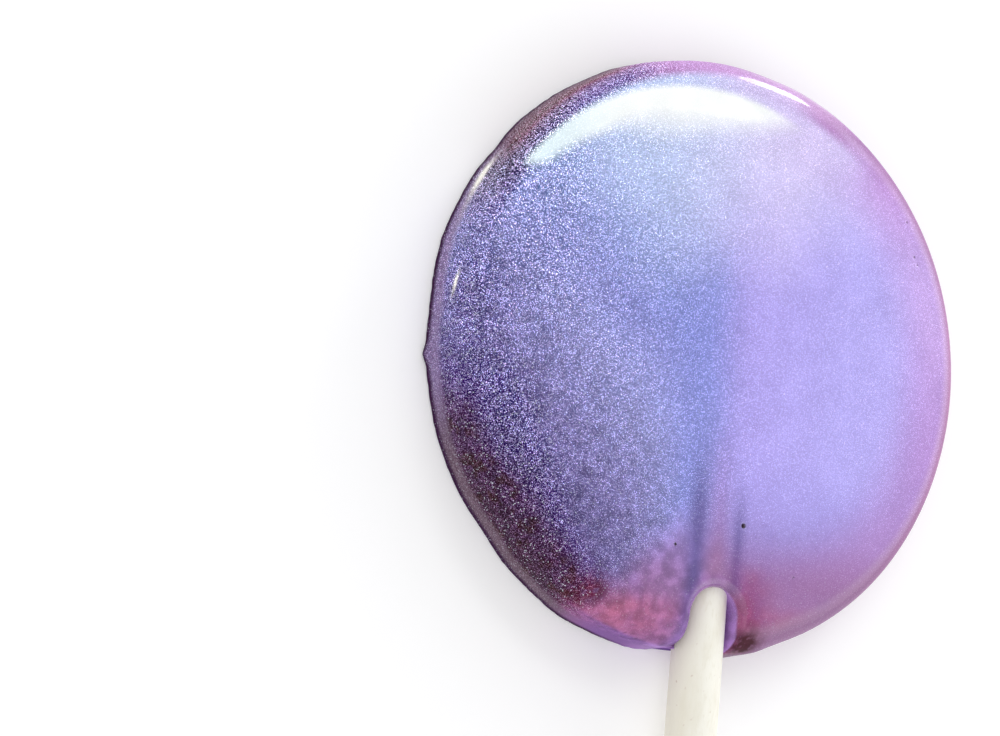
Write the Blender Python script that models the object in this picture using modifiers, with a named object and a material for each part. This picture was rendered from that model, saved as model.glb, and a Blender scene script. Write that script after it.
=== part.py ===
"""A round lollipop: a cast disc of hard candy on a paper stick, lying on its flat back.

Metres, +Z up through the shown face. The origin is the centre of the flat back,
and the stick runs towards -Y. The disc is turned as one profile, its outline is
then swelled and dented a little as hand-cast candy is, and the seat of the stick
is cut from it: a round bore for the buried length, and an arched notch in the
shown face where the stick comes out between two rounded lobes.
"""

import math

import bmesh
import bpy
import numpy as np

MM = 0.001

# Candy disc: 2 inches across, a quarter of an inch thick
DISC_RADIUS = 25.4 * MM
DISC_THICKNESS = 6.5 * MM
WALL_HEIGHT = 3.0 * MM
WALL_DRAFT = 0.35 * MM
SHOULDER_WIDTH = 3.2 * MM
FACE_CROWN = 0.12 * MM
BACK_EDGE_ROUND = 0.2 * MM
TURN_STEPS = 132
SHOULDER_POINTS = 9
CROWN_POINTS = 4

# Paper stick: 11/64 inch by 4 1/2 inches, laid a little right of the middle line
STICK_RADIUS = 4.366 / 2 * MM
STICK_LENGTH = 114.3 * MM
STICK_AXIS_X = 0.6 * MM
STICK_AXIS_Z = 3.2 * MM
STICK_TOP_Y = -5.0 * MM
STICK_END_ROUND = 0.3 * MM
STICK_SIDES = 40

# Seat of the stick
BORE_CLEARANCE = 0.3 * MM
NOTCH_CLEARANCE = 0.42 * MM
NOTCH_ARCH_Y = -19.5 * MM
NOTCH_LIP_ROUND = 0.9 * MM
NOTCH_LIP_RINGS = 5
NOTCH_RING_STEP = 0.05 * MM
NOTCH_SIDE_POINTS = 9
NOTCH_ARCH_POINTS = 14
LEFT_LOBE_ROUND = 1.9 * MM
RIGHT_LOBE_ROUND = 0.9 * MM
CUTTER_OVERRUN = 2.5 * MM

# Swells (+) and dents (-) of the outline: direction and spread in degrees, height
OUTLINE_SWELLS = (
    (-77.0, 3.5, 0.32 * MM),
    (-91.0, 4.5, -0.70 * MM),
    (-116.0, 5.0, 0.15 * MM),
    (-138.0, 5.0, -0.20 * MM),
    (-157.0, 8.0, 0.10 * MM),
    (179.0, 5.0, -0.13 * MM),
    (166.0, 5.0, 0.10 * MM),
    (146.0, 4.0, -0.18 * MM),
    (113.0, 5.0, 0.20 * MM),
    (84.0, 6.0, -0.14 * MM),
    (30.0, 14.0, 0.09 * MM),
    (-22.0, 14.0, -0.08 * MM),
)
SWELL_LEFT_AT_FACE = 0.55

# Spill at the back edge, on the left
SPILL_ANGLE = math.radians(-172.0)
SPILL_INSET = 0.5 * MM
SPILL_HEIGHT = 0.6 * MM
SPILL_SIZE = (1.0 * MM, 1.3 * MM, 0.52 * MM)

SMOOTH_ANGLE = math.radians(35.0)

CANDY_COLOUR = (0.32, 0.25, 0.66, 1.0)
PAPER_COLOUR = (0.83, 0.80, 0.68, 1.0)


def clear_scene():
    """Remove every object that is already in the scene."""
    for obj in list(bpy.data.objects):
        bpy.data.objects.remove(obj, do_unlink=True)


def new_collection(name):
    """Make a collection under the scene's own."""
    collection = bpy.data.collections.new(name)
    bpy.context.scene.collection.children.link(collection)
    return collection


def new_material(name, colour, roughness, metallic):
    """Make a plain Principled material."""
    material = bpy.data.materials.new(name)
    material.use_nodes = True
    shader = material.node_tree.nodes["Principled BSDF"]
    shader.inputs["Base Color"].default_value = colour
    shader.inputs["Roughness"].default_value = roughness
    shader.inputs["Metallic"].default_value = metallic
    material.diffuse_color = colour
    return material


def add_mesh_object(name, bm, collection):
    """Turn a bmesh into a named object of a collection, its normals facing out."""
    bmesh.ops.recalc_face_normals(bm, faces=bm.faces)
    mesh = bpy.data.meshes.new(name)
    bm.to_mesh(mesh)
    bm.free()
    obj = bpy.data.objects.new(name, mesh)
    collection.objects.link(obj)
    return obj


def applied(obj):
    """Replace an object's mesh by its evaluated one and drop its modifiers."""
    graph = bpy.context.evaluated_depsgraph_get()
    mesh = bpy.data.meshes.new_from_object(obj.evaluated_get(graph))
    obj.modifiers.clear()
    obj.data = mesh


def hide_as_cutter(obj):
    """Leave a helper out of renders and draw it as wires."""
    obj.hide_render = True
    obj.display_type = "WIRE"


def shade_round(obj):
    """Smooth shading that keeps real edges sharp."""
    obj.data.shade_smooth()
    obj.data.set_sharp_from_angle(angle=SMOOTH_ANGLE)


def face_height(radius):
    """Height of the shown face at a distance from the disc's axis."""
    shoulder_start = DISC_RADIUS - WALL_DRAFT - SHOULDER_WIDTH
    rim_height = DISC_THICKNESS - FACE_CROWN
    if radius <= shoulder_start:
        return DISC_THICKNESS - FACE_CROWN * (radius / shoulder_start) ** 2
    reach = min((radius - shoulder_start) / SHOULDER_WIDTH, 1.0)
    return WALL_HEIGHT + (rim_height - WALL_HEIGHT) * math.sqrt(1.0 - reach * reach)


def disc_profile():
    """Half section of the disc, from the middle of the face down to the back."""
    shoulder_start = DISC_RADIUS - WALL_DRAFT - SHOULDER_WIDTH
    radii = [shoulder_start * i / CROWN_POINTS for i in range(CROWN_POINTS)]
    for i in range(SHOULDER_POINTS + 1):
        turn = math.pi / 2 * i / SHOULDER_POINTS
        radii.append(shoulder_start + SHOULDER_WIDTH * math.sin(turn))
    points = [(radius, face_height(radius)) for radius in radii]
    points.append((DISC_RADIUS - WALL_DRAFT / 2, WALL_HEIGHT / 2))
    points.append((DISC_RADIUS, BACK_EDGE_ROUND))
    points.append((DISC_RADIUS - BACK_EDGE_ROUND, 0.0))
    points.append((0.0, 0.0))
    return points


def outline_swell(angle):
    """How far the hand-cast outline stands off the true circle in one direction."""
    swell = 0.0
    for direction, spread, height in OUTLINE_SWELLS:
        away = math.remainder(angle - math.radians(direction), math.tau)
        swell += height * math.exp(-((away / math.radians(spread)) ** 2))
    return swell


def swell_at(x, y, height):
    """Swell of one point of the disc: full at the back edge, less up and inwards."""
    keep = 1.0 - (1.0 - SWELL_LEFT_AT_FACE) * height / DISC_THICKNESS
    reach = (math.hypot(x, y) / DISC_RADIUS) ** 4
    return outline_swell(math.atan2(y, x)) * keep * reach


def swell_outline(mesh):
    """Move the rim of the turned disc in and out."""
    points = np.empty(len(mesh.vertices) * 3)
    mesh.vertices.foreach_get("co", points)
    points = points.reshape(-1, 3)
    for point in points:
        radius = math.hypot(point[0], point[1])
        if radius > MM:
            point[:2] *= 1.0 + swell_at(*point) / radius
    mesh.vertices.foreach_set("co", points.ravel())
    mesh.update()


def swelled_height(x, y):
    """Height of the swelled face over one point of the plan."""
    radius = math.hypot(x, y)
    return face_height(radius - swell_at(x, y, face_height(radius)))


def turn_disc(collection):
    """The disc alone: a profile turned about Z, then swelled."""
    bm = bmesh.new()
    corners = [bm.verts.new((radius, 0.0, height)) for radius, height in disc_profile()]
    for upper, lower in zip(corners, corners[1:]):
        bm.edges.new((upper, lower))
    mesh = bpy.data.meshes.new("candy_disc")
    bm.to_mesh(mesh)
    bm.free()
    disc = bpy.data.objects.new("candy_disc", mesh)
    collection.objects.link(disc)
    screw = disc.modifiers.new("turn", "SCREW")
    screw.axis = "Z"
    screw.steps = TURN_STEPS
    screw.render_steps = TURN_STEPS
    screw.use_merge_vertices = True
    screw.merge_threshold = 0.01 * MM
    applied(disc)
    swell_outline(disc.data)
    return disc


def lobe_flare(y, lobe_round):
    """How far the notch opens sideways near the rim, rounding one lobe's corner."""
    into_corner = (-DISC_RADIUS + lobe_round) - y
    if into_corner <= 0.0:
        return 0.0
    into_corner = min(into_corner, lobe_round)
    return lobe_round - math.sqrt(lobe_round**2 - into_corner**2)


def notch_outline(offset):
    """Plan of the notch, widened by an offset: up the left side, round the arch, down."""
    half_width = STICK_RADIUS + NOTCH_CLEARANCE + offset
    mouth_y = -DISC_RADIUS - CUTTER_OVERRUN
    arch_centre_y = NOTCH_ARCH_Y - STICK_RADIUS - NOTCH_CLEARANCE
    rows = np.linspace(-DISC_RADIUS, arch_centre_y, NOTCH_SIDE_POINTS)
    rows = [mouth_y, *rows[:-1]]
    left = [(-half_width - lobe_flare(y, LEFT_LOBE_ROUND), y) for y in rows]
    right = [(half_width + lobe_flare(y, RIGHT_LOBE_ROUND), y) for y in reversed(rows)]
    arch = []
    for turn in np.linspace(math.pi, 0.0, NOTCH_ARCH_POINTS):
        along = arch_centre_y + half_width * math.sin(turn)
        arch.append((half_width * math.cos(turn), along))
    return [(STICK_AXIS_X + x, y) for x, y in left + arch + right]


def notch_cutter(collection):
    """A loft from the notch's floor to over the face, flaring into its rounded lip."""
    rings = [[(x, y, STICK_AXIS_Z) for x, y in notch_outline(0.0)]]
    for level in range(NOTCH_LIP_RINGS + 1):
        turn = math.pi / 2 * level / NOTCH_LIP_RINGS
        drop = NOTCH_LIP_ROUND * (1.0 - math.sin(turn))
        lowest = STICK_AXIS_Z + NOTCH_RING_STEP * (level + 1)
        ring = []
        for x, y in notch_outline(NOTCH_LIP_ROUND * (1.0 - math.cos(turn))):
            ring.append((x, y, max(swelled_height(x, y) - drop, lowest)))
        rings.append(ring)
    top_height = DISC_THICKNESS + CUTTER_OVERRUN
    rings.append([(x, y, top_height) for x, y, _ in rings[-1]])
    bm = bmesh.new()
    loops = [[bm.verts.new(point) for point in ring] for ring in rings]
    for below, above in zip(loops, loops[1:]):
        for i, corner in enumerate(below):
            j = (i + 1) % len(below)
            bm.faces.new((corner, below[j], above[j], above[i]))
    bm.faces.new(loops[0])
    bm.faces.new(loops[-1])
    cutter = add_mesh_object("notch_cutter", bm, collection)
    hide_as_cutter(cutter)
    return cutter


def rod(name, radius, top_y, bottom_y, collection):
    """A round bar along Y on the stick's axis."""
    bm = bmesh.new()
    bmesh.ops.create_cone(
        bm,
        cap_ends=True,
        segments=STICK_SIDES,
        radius1=radius,
        radius2=radius,
        depth=top_y - bottom_y,
    )
    bar = add_mesh_object(name, bm, collection)
    bar.location = (STICK_AXIS_X, (top_y + bottom_y) / 2, STICK_AXIS_Z)
    bar.rotation_euler = (math.pi / 2, 0.0, 0.0)
    return bar


def bore_cutter(collection):
    """The round seat of the stick's buried length."""
    radius = STICK_RADIUS + BORE_CLEARANCE
    bottom = -DISC_RADIUS - CUTTER_OVERRUN
    cutter = rod("bore_cutter", radius, STICK_TOP_Y + BORE_CLEARANCE, bottom, collection)
    hide_as_cutter(cutter)
    return cutter


def edge_spill(collection):
    """The small spill of candy at the back edge, as a squashed ball to be joined on."""
    bm = bmesh.new()
    bmesh.ops.create_uvsphere(bm, u_segments=14, v_segments=10, radius=1.0)
    bmesh.ops.scale(bm, vec=SPILL_SIZE, verts=bm.verts)
    spill = add_mesh_object("edge_spill", bm, collection)
    distance = DISC_RADIUS - SPILL_INSET
    across = distance * math.cos(SPILL_ANGLE)
    along = distance * math.sin(SPILL_ANGLE)
    spill.location = (across, along, SPILL_HEIGHT)
    spill.rotation_euler = (0.0, 0.0, SPILL_ANGLE)
    hide_as_cutter(spill)
    return spill


def join_or_cut(obj, other, operation):
    """Add one exact Boolean to an object."""
    boolean = obj.modifiers.new(other.name, "BOOLEAN")
    boolean.operation = operation
    boolean.solver = "EXACT"
    boolean.object = other


def build_candy(parts, cutters):
    """The candy disc with its spill, its bore and its notch."""
    candy = turn_disc(parts)
    join_or_cut(candy, edge_spill(cutters), "UNION")
    join_or_cut(candy, notch_cutter(cutters), "DIFFERENCE")
    join_or_cut(candy, bore_cutter(cutters), "DIFFERENCE")
    applied(candy)
    candy.data.materials.append(new_material("pearl_candy", CANDY_COLOUR, 0.25, 0.0))
    shade_round(candy)
    return candy


def build_stick(parts):
    """The paper stick, its ends slightly rounded."""
    bottom = STICK_TOP_Y - STICK_LENGTH
    stick = rod("paper_stick", STICK_RADIUS, STICK_TOP_Y, bottom, parts)
    bevel = stick.modifiers.new("end_round", "BEVEL")
    bevel.width = STICK_END_ROUND
    bevel.segments = 2
    bevel.limit_method = "ANGLE"
    bevel.angle_limit = math.radians(60.0)
    stick.data.materials.append(new_material("rolled_paper", PAPER_COLOUR, 0.75, 0.0))
    shade_round(stick)
    return stick


def main():
    """Build the lollipop."""
    clear_scene()
    parts = new_collection("lollipop")
    cutters = new_collection("lollipop_cutters")
    build_candy(parts, cutters)
    build_stick(parts)


main()
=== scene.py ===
"""Looks of a round lollipop: pearly purple hard candy, cast on a stick of rolled white paper.

It lies on its flat back with the shown face up. The candy's mesh is one closed surface: a
face with a rounded shoulder, an arched notch with a rounded lip where the stick comes out,
small pits, and a hand-cast side wall. The stick is one grid, rolled round by Geometry Nodes.
"""

import logging
import math
from collections.abc import Sequence
from dataclasses import dataclass
from enum import Enum
from typing import Any

import bmesh
import bpy
from mathutils import Matrix, Vector, noise
from mathutils.geometry import delaunay_2d_cdt


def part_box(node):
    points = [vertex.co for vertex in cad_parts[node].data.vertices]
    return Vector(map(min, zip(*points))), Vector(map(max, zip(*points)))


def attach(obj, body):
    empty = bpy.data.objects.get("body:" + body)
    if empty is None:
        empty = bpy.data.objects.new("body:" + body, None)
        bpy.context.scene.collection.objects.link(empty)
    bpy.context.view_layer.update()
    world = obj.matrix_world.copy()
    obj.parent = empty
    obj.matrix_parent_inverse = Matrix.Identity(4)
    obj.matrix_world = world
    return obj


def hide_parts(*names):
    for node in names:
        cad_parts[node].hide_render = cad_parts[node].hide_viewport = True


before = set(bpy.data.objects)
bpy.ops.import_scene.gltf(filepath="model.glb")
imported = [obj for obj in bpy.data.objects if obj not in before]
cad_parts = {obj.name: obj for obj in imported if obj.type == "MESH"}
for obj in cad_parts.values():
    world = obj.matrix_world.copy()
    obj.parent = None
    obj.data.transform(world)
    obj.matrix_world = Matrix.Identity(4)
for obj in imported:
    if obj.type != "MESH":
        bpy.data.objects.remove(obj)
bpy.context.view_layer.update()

MM = 0.001
DISC_RADIUS = 25.4 * MM
BODY = "root"

Colour = tuple[float, float, float, float]
Ramp = tuple[tuple[float, Colour], ...]
Point = tuple[float, float]
Span = tuple[float, float]

log = logging.getLogger("lollipop")


class CadNode(Enum):
    """The solids that the pieces here stand for."""

    CANDY = "candy_disc"
    STICK = "paper_stick"


class Slot(Enum):
    """Material slots of the record."""

    CANDY = "candy"
    PAPER = "paper"


class Mark(Enum):
    """Masks that the candy's mesh carries for its finish, one number for each of its points."""

    RIM = "rim"
    WALL = "wall"
    LIP = "lip"
    PIT = "pit"


class Grain(Enum):
    """Sizes of the pearl flakes, in millimetres across."""

    DUST = 0.042
    GLINT = 0.075


def on_screen(red: float, green: float, blue: float) -> Colour:
    """Linear colour of one that is given as it looks on a screen.

    Args:
        red: Red, 0 to 255.
        green: Green, 0 to 255.
        blue: Blue, 0 to 255.

    Returns:
        The linear colour, with alpha 1.
    """
    parts = []
    for value in (red, green, blue):
        share = value / 255
        low = share <= 0.04045
        parts.append(share / 12.92 if low else ((share + 0.055) / 1.055) ** 2.4)
    return (parts[0], parts[1], parts[2], 1.0)


def smooth_step(value: float, low: float, high: float) -> float:
    """Rise from 0 at low to 1 at high, without a corner.

    Args:
        value: The number to judge.
        low: Where the rise starts.
        high: Where it ends.

    Returns:
        A share from 0 to 1.
    """
    share = min(max((value - low) / (high - low), 0.0), 1.0)
    return share * share * (3.0 - 2.0 * share)


def closed_line(count: int) -> list[tuple[int, int]]:
    """Join a count of points into one closed line, each to the next."""
    return [(i, (i + 1) % count) for i in range(count)]


def linked(name: str, data: bpy.types.ID) -> bpy.types.Object:
    """Put a mesh, a light or a camera into the scene as an object of its own.

    Args:
        name: The object's name.
        data: What it shows.

    Returns:
        The object, at the origin.
    """
    thing = bpy.data.objects.new(name, data)
    bpy.context.scene.collection.objects.link(thing)
    return thing


# ---------------------------------------------------------------------------
# Nodes
# ---------------------------------------------------------------------------


class Wire:
    """An output socket that can be used in Python sums: each operator adds a Math node."""

    def __init__(self, bench: "Bench", socket: bpy.types.NodeSocket) -> None:
        """Wrap one output socket of a bench's tree."""
        self.bench = bench
        self.socket = socket

    def __add__(self, other: "Wire | float") -> "Wire":
        """Sum of the wire and a value."""
        return self.bench.maths("ADD", self, other)

    def __radd__(self, other: float) -> "Wire":
        """Sum of a number and the wire."""
        return self.bench.maths("ADD", other, self)

    def __sub__(self, other: "Wire | float") -> "Wire":
        """The wire less a value."""
        return self.bench.maths("SUBTRACT", self, other)

    def __rsub__(self, other: float) -> "Wire":
        """A number less the wire."""
        return self.bench.maths("SUBTRACT", other, self)

    def __mul__(self, other: "Wire | float") -> "Wire":
        """Product of the wire and a value."""
        return self.bench.maths("MULTIPLY", self, other)

    def __rmul__(self, other: float) -> "Wire":
        """Product of a number and the wire."""
        return self.bench.maths("MULTIPLY", other, self)

    def __truediv__(self, other: "Wire | float") -> "Wire":
        """The wire divided by a value."""
        return self.bench.maths("DIVIDE", self, other)

    def __pow__(self, other: float) -> "Wire":
        """The wire raised to a power."""
        return self.bench.maths("POWER", self, other)

    def __neg__(self) -> "Wire":
        """The wire with its sign turned."""
        return self.bench.maths("MULTIPLY", self, -1.0)

    def size(self) -> "Wire":
        """The wire without its sign."""
        return self.bench.maths("ABSOLUTE", self)

    def least(self, other: "Wire | float") -> "Wire":
        """The smaller of the wire and a value."""
        return self.bench.maths("MINIMUM", self, other)

    def most(self, other: "Wire | float") -> "Wire":
        """The larger of the wire and a value."""
        return self.bench.maths("MAXIMUM", self, other)

    def rise(self, low: float, high: float) -> "Wire":
        """Smooth step of the wire.

        Args:
            low: Where the result leaves 0.
            high: Where it reaches 1. Below low, the step falls instead of rising.

        Returns:
            A share from 0 to 1.
        """
        settings = {"interpolation_type": "SMOOTHSTEP"}
        if low > high:
            return 1.0 - self.rise(high, low)
        return self.bench.add("ShaderNodeMapRange", settings, {0: self, 1: low, 2: high})

    def hill(self, centre: float, spread: float) -> "Wire":
        """Bell curve of the wire.

        Args:
            centre: Where the result is 1.
            spread: How far from there it falls to 1/e.

        Returns:
            A share from 0 to 1.
        """
        away = (self - centre) * (1.0 / spread)
        return self.bench.maths("EXPONENT", -(away * away))


class Bench:
    """Adds nodes to one tree, each node in one call."""

    def __init__(self, tree: bpy.types.NodeTree) -> None:
        """Work on a tree that already exists."""
        self.tree = tree

    def add(
        self,
        kind: str,
        settings: dict[str, Any] | None = None,
        sockets: dict[int | str, Any] | None = None,
        output: int | str = 0,
    ) -> Wire:
        """Add a node, set it and feed it.

        Args:
            kind: The node's type.
            settings: Its own settings, which are set first.
            sockets: What its inputs take, by place or name: a wire or a plain value.
            output: The output that is wanted.

        Returns:
            That output.
        """
        node = self.tree.nodes.new(kind)
        for name, value in (settings or {}).items():
            setattr(node, name, value)
        for key, value in (sockets or {}).items():
            if isinstance(value, Wire):
                self.tree.links.new(value.socket, node.inputs[key])
            else:
                node.inputs[key].default_value = value
        return Wire(self, node.outputs[output] if node.outputs else None)

    def maths(self, operation: str, *values: Wire | float) -> Wire:
        """One Math node.

        Args:
            operation: The node's operation.
            values: Its inputs, in order.

        Returns:
            Its result.
        """
        return self.add("ShaderNodeMath", {"operation": operation}, dict(enumerate(values)))

    def parts(self, vector: Wire) -> tuple[Wire, Wire, Wire]:
        """The three numbers of a vector."""
        node = self.add("ShaderNodeSeparateXYZ", None, {0: vector}).socket.node
        return tuple(Wire(self, socket) for socket in node.outputs)

    def joined(self, x: Wire | float, y: Wire | float, z: Wire | float) -> Wire:
        """A vector of three numbers."""
        return self.add("ShaderNodeCombineXYZ", None, {0: x, 1: y, 2: z})

    def vector(self, operation: str, *values: Any) -> Wire:
        """One Vector Math node.

        Args:
            operation: The node's operation.
            values: Its inputs, in order.

        Returns:
            Its vector.
        """
        sockets = dict(enumerate(values))
        return self.add("ShaderNodeVectorMath", {"operation": operation}, sockets)

    def scaled(self, vector: Wire, factor: Wire | float) -> Wire:
        """A vector times a number."""
        settings = {"operation": "SCALE"}
        return self.add("ShaderNodeVectorMath", settings, {0: vector, "Scale": factor})

    def blend(self, base: Any, over: Any, share: Wire | float, kind: str = "MIX") -> Wire:
        """Lay one colour over another.

        Args:
            base: The colour below.
            over: The colour above.
            share: How much of the one above shows.
            kind: How they are mixed.

        Returns:
            The mixed colour.
        """
        settings = {"data_type": "RGBA", "blend_type": kind}
        first, second, result = 6, 7, 2
        sockets = {"Factor": share, first: base, second: over}
        return self.add("ShaderNodeMix", settings, sockets, result)

    def ramp(self, value: Wire, stops: Ramp) -> Wire:
        """Colours that follow one another as a value grows.

        Args:
            value: The value.
            stops: Each colour, after the value that it belongs to.

        Returns:
            The colour at that value.
        """
        first, last = stops[0][0], stops[-1][0]
        node = self.add("ShaderNodeValToRGB", None, {0: (value - first) / (last - first)})
        elements = node.socket.node.color_ramp.elements
        while len(elements) < len(stops):
            elements.new(1.0)
        for element, (at, colour) in zip(elements, stops):
            element.position = (at - first) / (last - first)
            element.color = colour
        return node

    def cloud(self, place: Wire, size: float, detail: float) -> Wire:
        """Soft noise.

        Args:
            place: Where it is read, in millimetres.
            size: Width of its blots, in millimetres.
            detail: How many finer layers it has.

        Returns:
            The noise, about 0.5 on average.
        """
        sockets = {"Vector": place, "Scale": 1.0 / size, "Detail": detail}
        return self.add("ShaderNodeTexNoise", None, sockets)

    def flakes(self, place: Wire, grain: Grain) -> Wire:
        """Flat flakes, each with a colour of its own.

        Args:
            place: Where they are read, in millimetres.
            grain: Their size.

        Returns:
            Three random numbers a flake, as a colour.
        """
        sockets = {"Vector": place, "Scale": 1.0 / grain.value}
        return self.add("ShaderNodeTexVoronoi", None, sockets, "Color")

    def mark(self, mark: Mark) -> Wire:
        """One of the masks on the mesh."""
        return self.add("ShaderNodeAttribute", {"attribute_name": mark.value}, None, "Fac")

    def place(self) -> Wire:
        """Object coordinates in millimetres."""
        spot = self.add("ShaderNodeTexCoord", None, None, "Object")
        return self.add("ShaderNodeMapping", None, {0: spot, "Scale": (1.0 / MM,) * 3})

    def finish(self, sockets: dict[str, Any]) -> None:
        """End a material in one Principled shader.

        Args:
            sockets: What the shader's inputs take, by name.
        """
        shader = self.add("ShaderNodeBsdfPrincipled", None, sockets)
        self.add("ShaderNodeOutputMaterial", None, {"Surface": shader})


def new_finish(name: str) -> tuple[bpy.types.Material, Bench]:
    """Start an empty node material.

    Args:
        name: The material's name.

    Returns:
        The material, and the bench for its nodes.
    """
    material = bpy.data.materials.new(name)
    material.use_nodes = True
    material.node_tree.nodes.clear()
    return material, Bench(material.node_tree)


# ---------------------------------------------------------------------------
# Finishes
# ---------------------------------------------------------------------------


@dataclass(frozen=True)
class Blots:
    """Soft random blots: their width in millimetres, their finer layers and how they fade."""

    size: float
    detail: float
    fades: Span

    def over(self, bench: Bench, place: Wire) -> Wire:
        """The blots, from 0 between them to 1 in their middle."""
        return bench.cloud(place, self.size, self.detail).rise(*self.fades)


@dataclass(frozen=True)
class Surface:
    """What the candy's finish knows of a point: its place in millimetres and the mesh's masks.

    x runs to the right over the shown face, y away from the stick's free end, and z up.
    """

    bench: Bench
    place: Wire
    x: Wire
    y: Wire
    z: Wire
    wobble: Wire
    rim: Wire
    wall: Wire
    lip: Wire
    pit: Wire

    @classmethod
    def read_by(cls, bench: Bench, size: float, reach: float) -> "Surface":
        """Read everything once.

        Args:
            bench: Where the nodes go.
            size: Width of the soft random wobble of every border.
            reach: How far that wobble moves a border in all.

        Returns:
            What is known of the point.
        """
        place = bench.place()
        wobble = (bench.cloud(place, size, 3.0) - 0.5) * reach
        marks = (bench.mark(mark) for mark in Mark)
        return cls(bench, place, *bench.parts(place), wobble, *marks)

    def away(self, x: float = 0.0, y: float = 0.0) -> Wire:
        """Distance from a point of the plan."""
        across, along = self.x - x, self.y - y
        return (across * across + along * along) ** 0.5


@dataclass(frozen=True)
class Sugar:
    """The sugar without its flakes: painted shade makes it darkest at the lower left, painted light
    makes it lilac on the right, and a painted pearl sheen makes it pale above.
    """

    # Painted shade: the sugar darkens towards the lower left.
    to_low_left: Ramp = (
        (2.0, on_screen(147, 155, 227)),
        (6.0, on_screen(152, 155, 223)),
        (8.5, on_screen(162, 164, 228)),
        (11.0, on_screen(158, 158, 217)),
        (14.0, on_screen(144, 141, 198)),
        (17.0, on_screen(132, 124, 179)),
        (19.5, on_screen(118, 109, 162)),
        (21.5, on_screen(110, 94, 148)),
        (23.0, on_screen(90, 61, 103)),
        (25.5, on_screen(62, 24, 42)),
    )
    # Painted light: lilac on the right.
    to_right: Ramp = (
        (-3.0, on_screen(168, 161, 236)),
        (0.0, on_screen(178, 166, 240)),
        (3.0, on_screen(186, 173, 248)),
        (12.0, on_screen(190, 180, 252)),
        (17.0, on_screen(192, 180, 251)),
        (22.0, on_screen(198, 172, 250)),
    )
    blue: Colour = on_screen(146, 153, 226)
    # Painted pearl sheen: pale colours over the top of the face.
    top_left: Colour = on_screen(204, 218, 255)
    top_right: Colour = on_screen(226, 216, 255)
    burnt: Colour = on_screen(62, 32, 34)
    low_left: Point = (-0.72, -0.68)
    halves_meet: Span = (-5.5, 1.5)
    blue_across: Span = (-3.4, 2.4)
    blue_up: Span = (11.0, 4.0)
    top_turns: Span = (-11.0, 5.0)
    top_starts: float = 1.4
    top_bulge: float = 2.5
    bulge_across: Span = (-7.0, 5.0)
    top_falls_right: float = 0.6
    top_falls_left: float = 0.4
    right_of: float = 4.0
    left_of: float = -12.0
    top_up: Span = (1.5, 17.5)
    burnt_blots: Blots = Blots(1.4, 3.0, (0.5, 0.64))
    burnt_from: Span = (21.2, 23.6)

    def toward_low_left(self, at: Surface) -> Wire:
        """How far a point lies towards the lower left."""
        return at.x * self.low_left[0] + at.y * self.low_left[1] + at.wobble

    def paint(self, at: Surface, toward_left: Wire) -> Wire:
        """Colour of the sugar on the shown face.

        Args:
            at: The point.
            toward_left: How far it lies towards the lower left.

        Returns:
            The paint.
        """
        bench, x, y, wobble = at.bench, at.x, at.y, at.wobble
        left = bench.ramp(toward_left, self.to_low_left)
        right = bench.ramp(x + wobble * 0.7, self.to_right)
        paint = bench.blend(left, right, (x + wobble * 0.5).rise(*self.halves_meet))
        band = (x + wobble * 0.4).hill(*self.blue_across) * (y + wobble).rise(*self.blue_up)
        paint = bench.blend(paint, self.blue, band * 0.8)
        top = bench.blend(self.top_left, self.top_right, (x + wobble).rise(*self.top_turns))
        up = y + wobble + self.top_bulge * x.hill(*self.bulge_across) + self.top_starts
        up = up - self.top_falls_right * x.most(self.right_of)
        up = up + self.top_falls_left * (x - self.left_of).least(0.0)
        paint = bench.blend(paint, top, up.rise(*self.top_up) * 0.88)
        spots = self.burnt_blots.over(bench, at.place) * toward_left.rise(*self.burnt_from)
        return bench.blend(paint, self.burnt, spots * 0.7)


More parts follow.
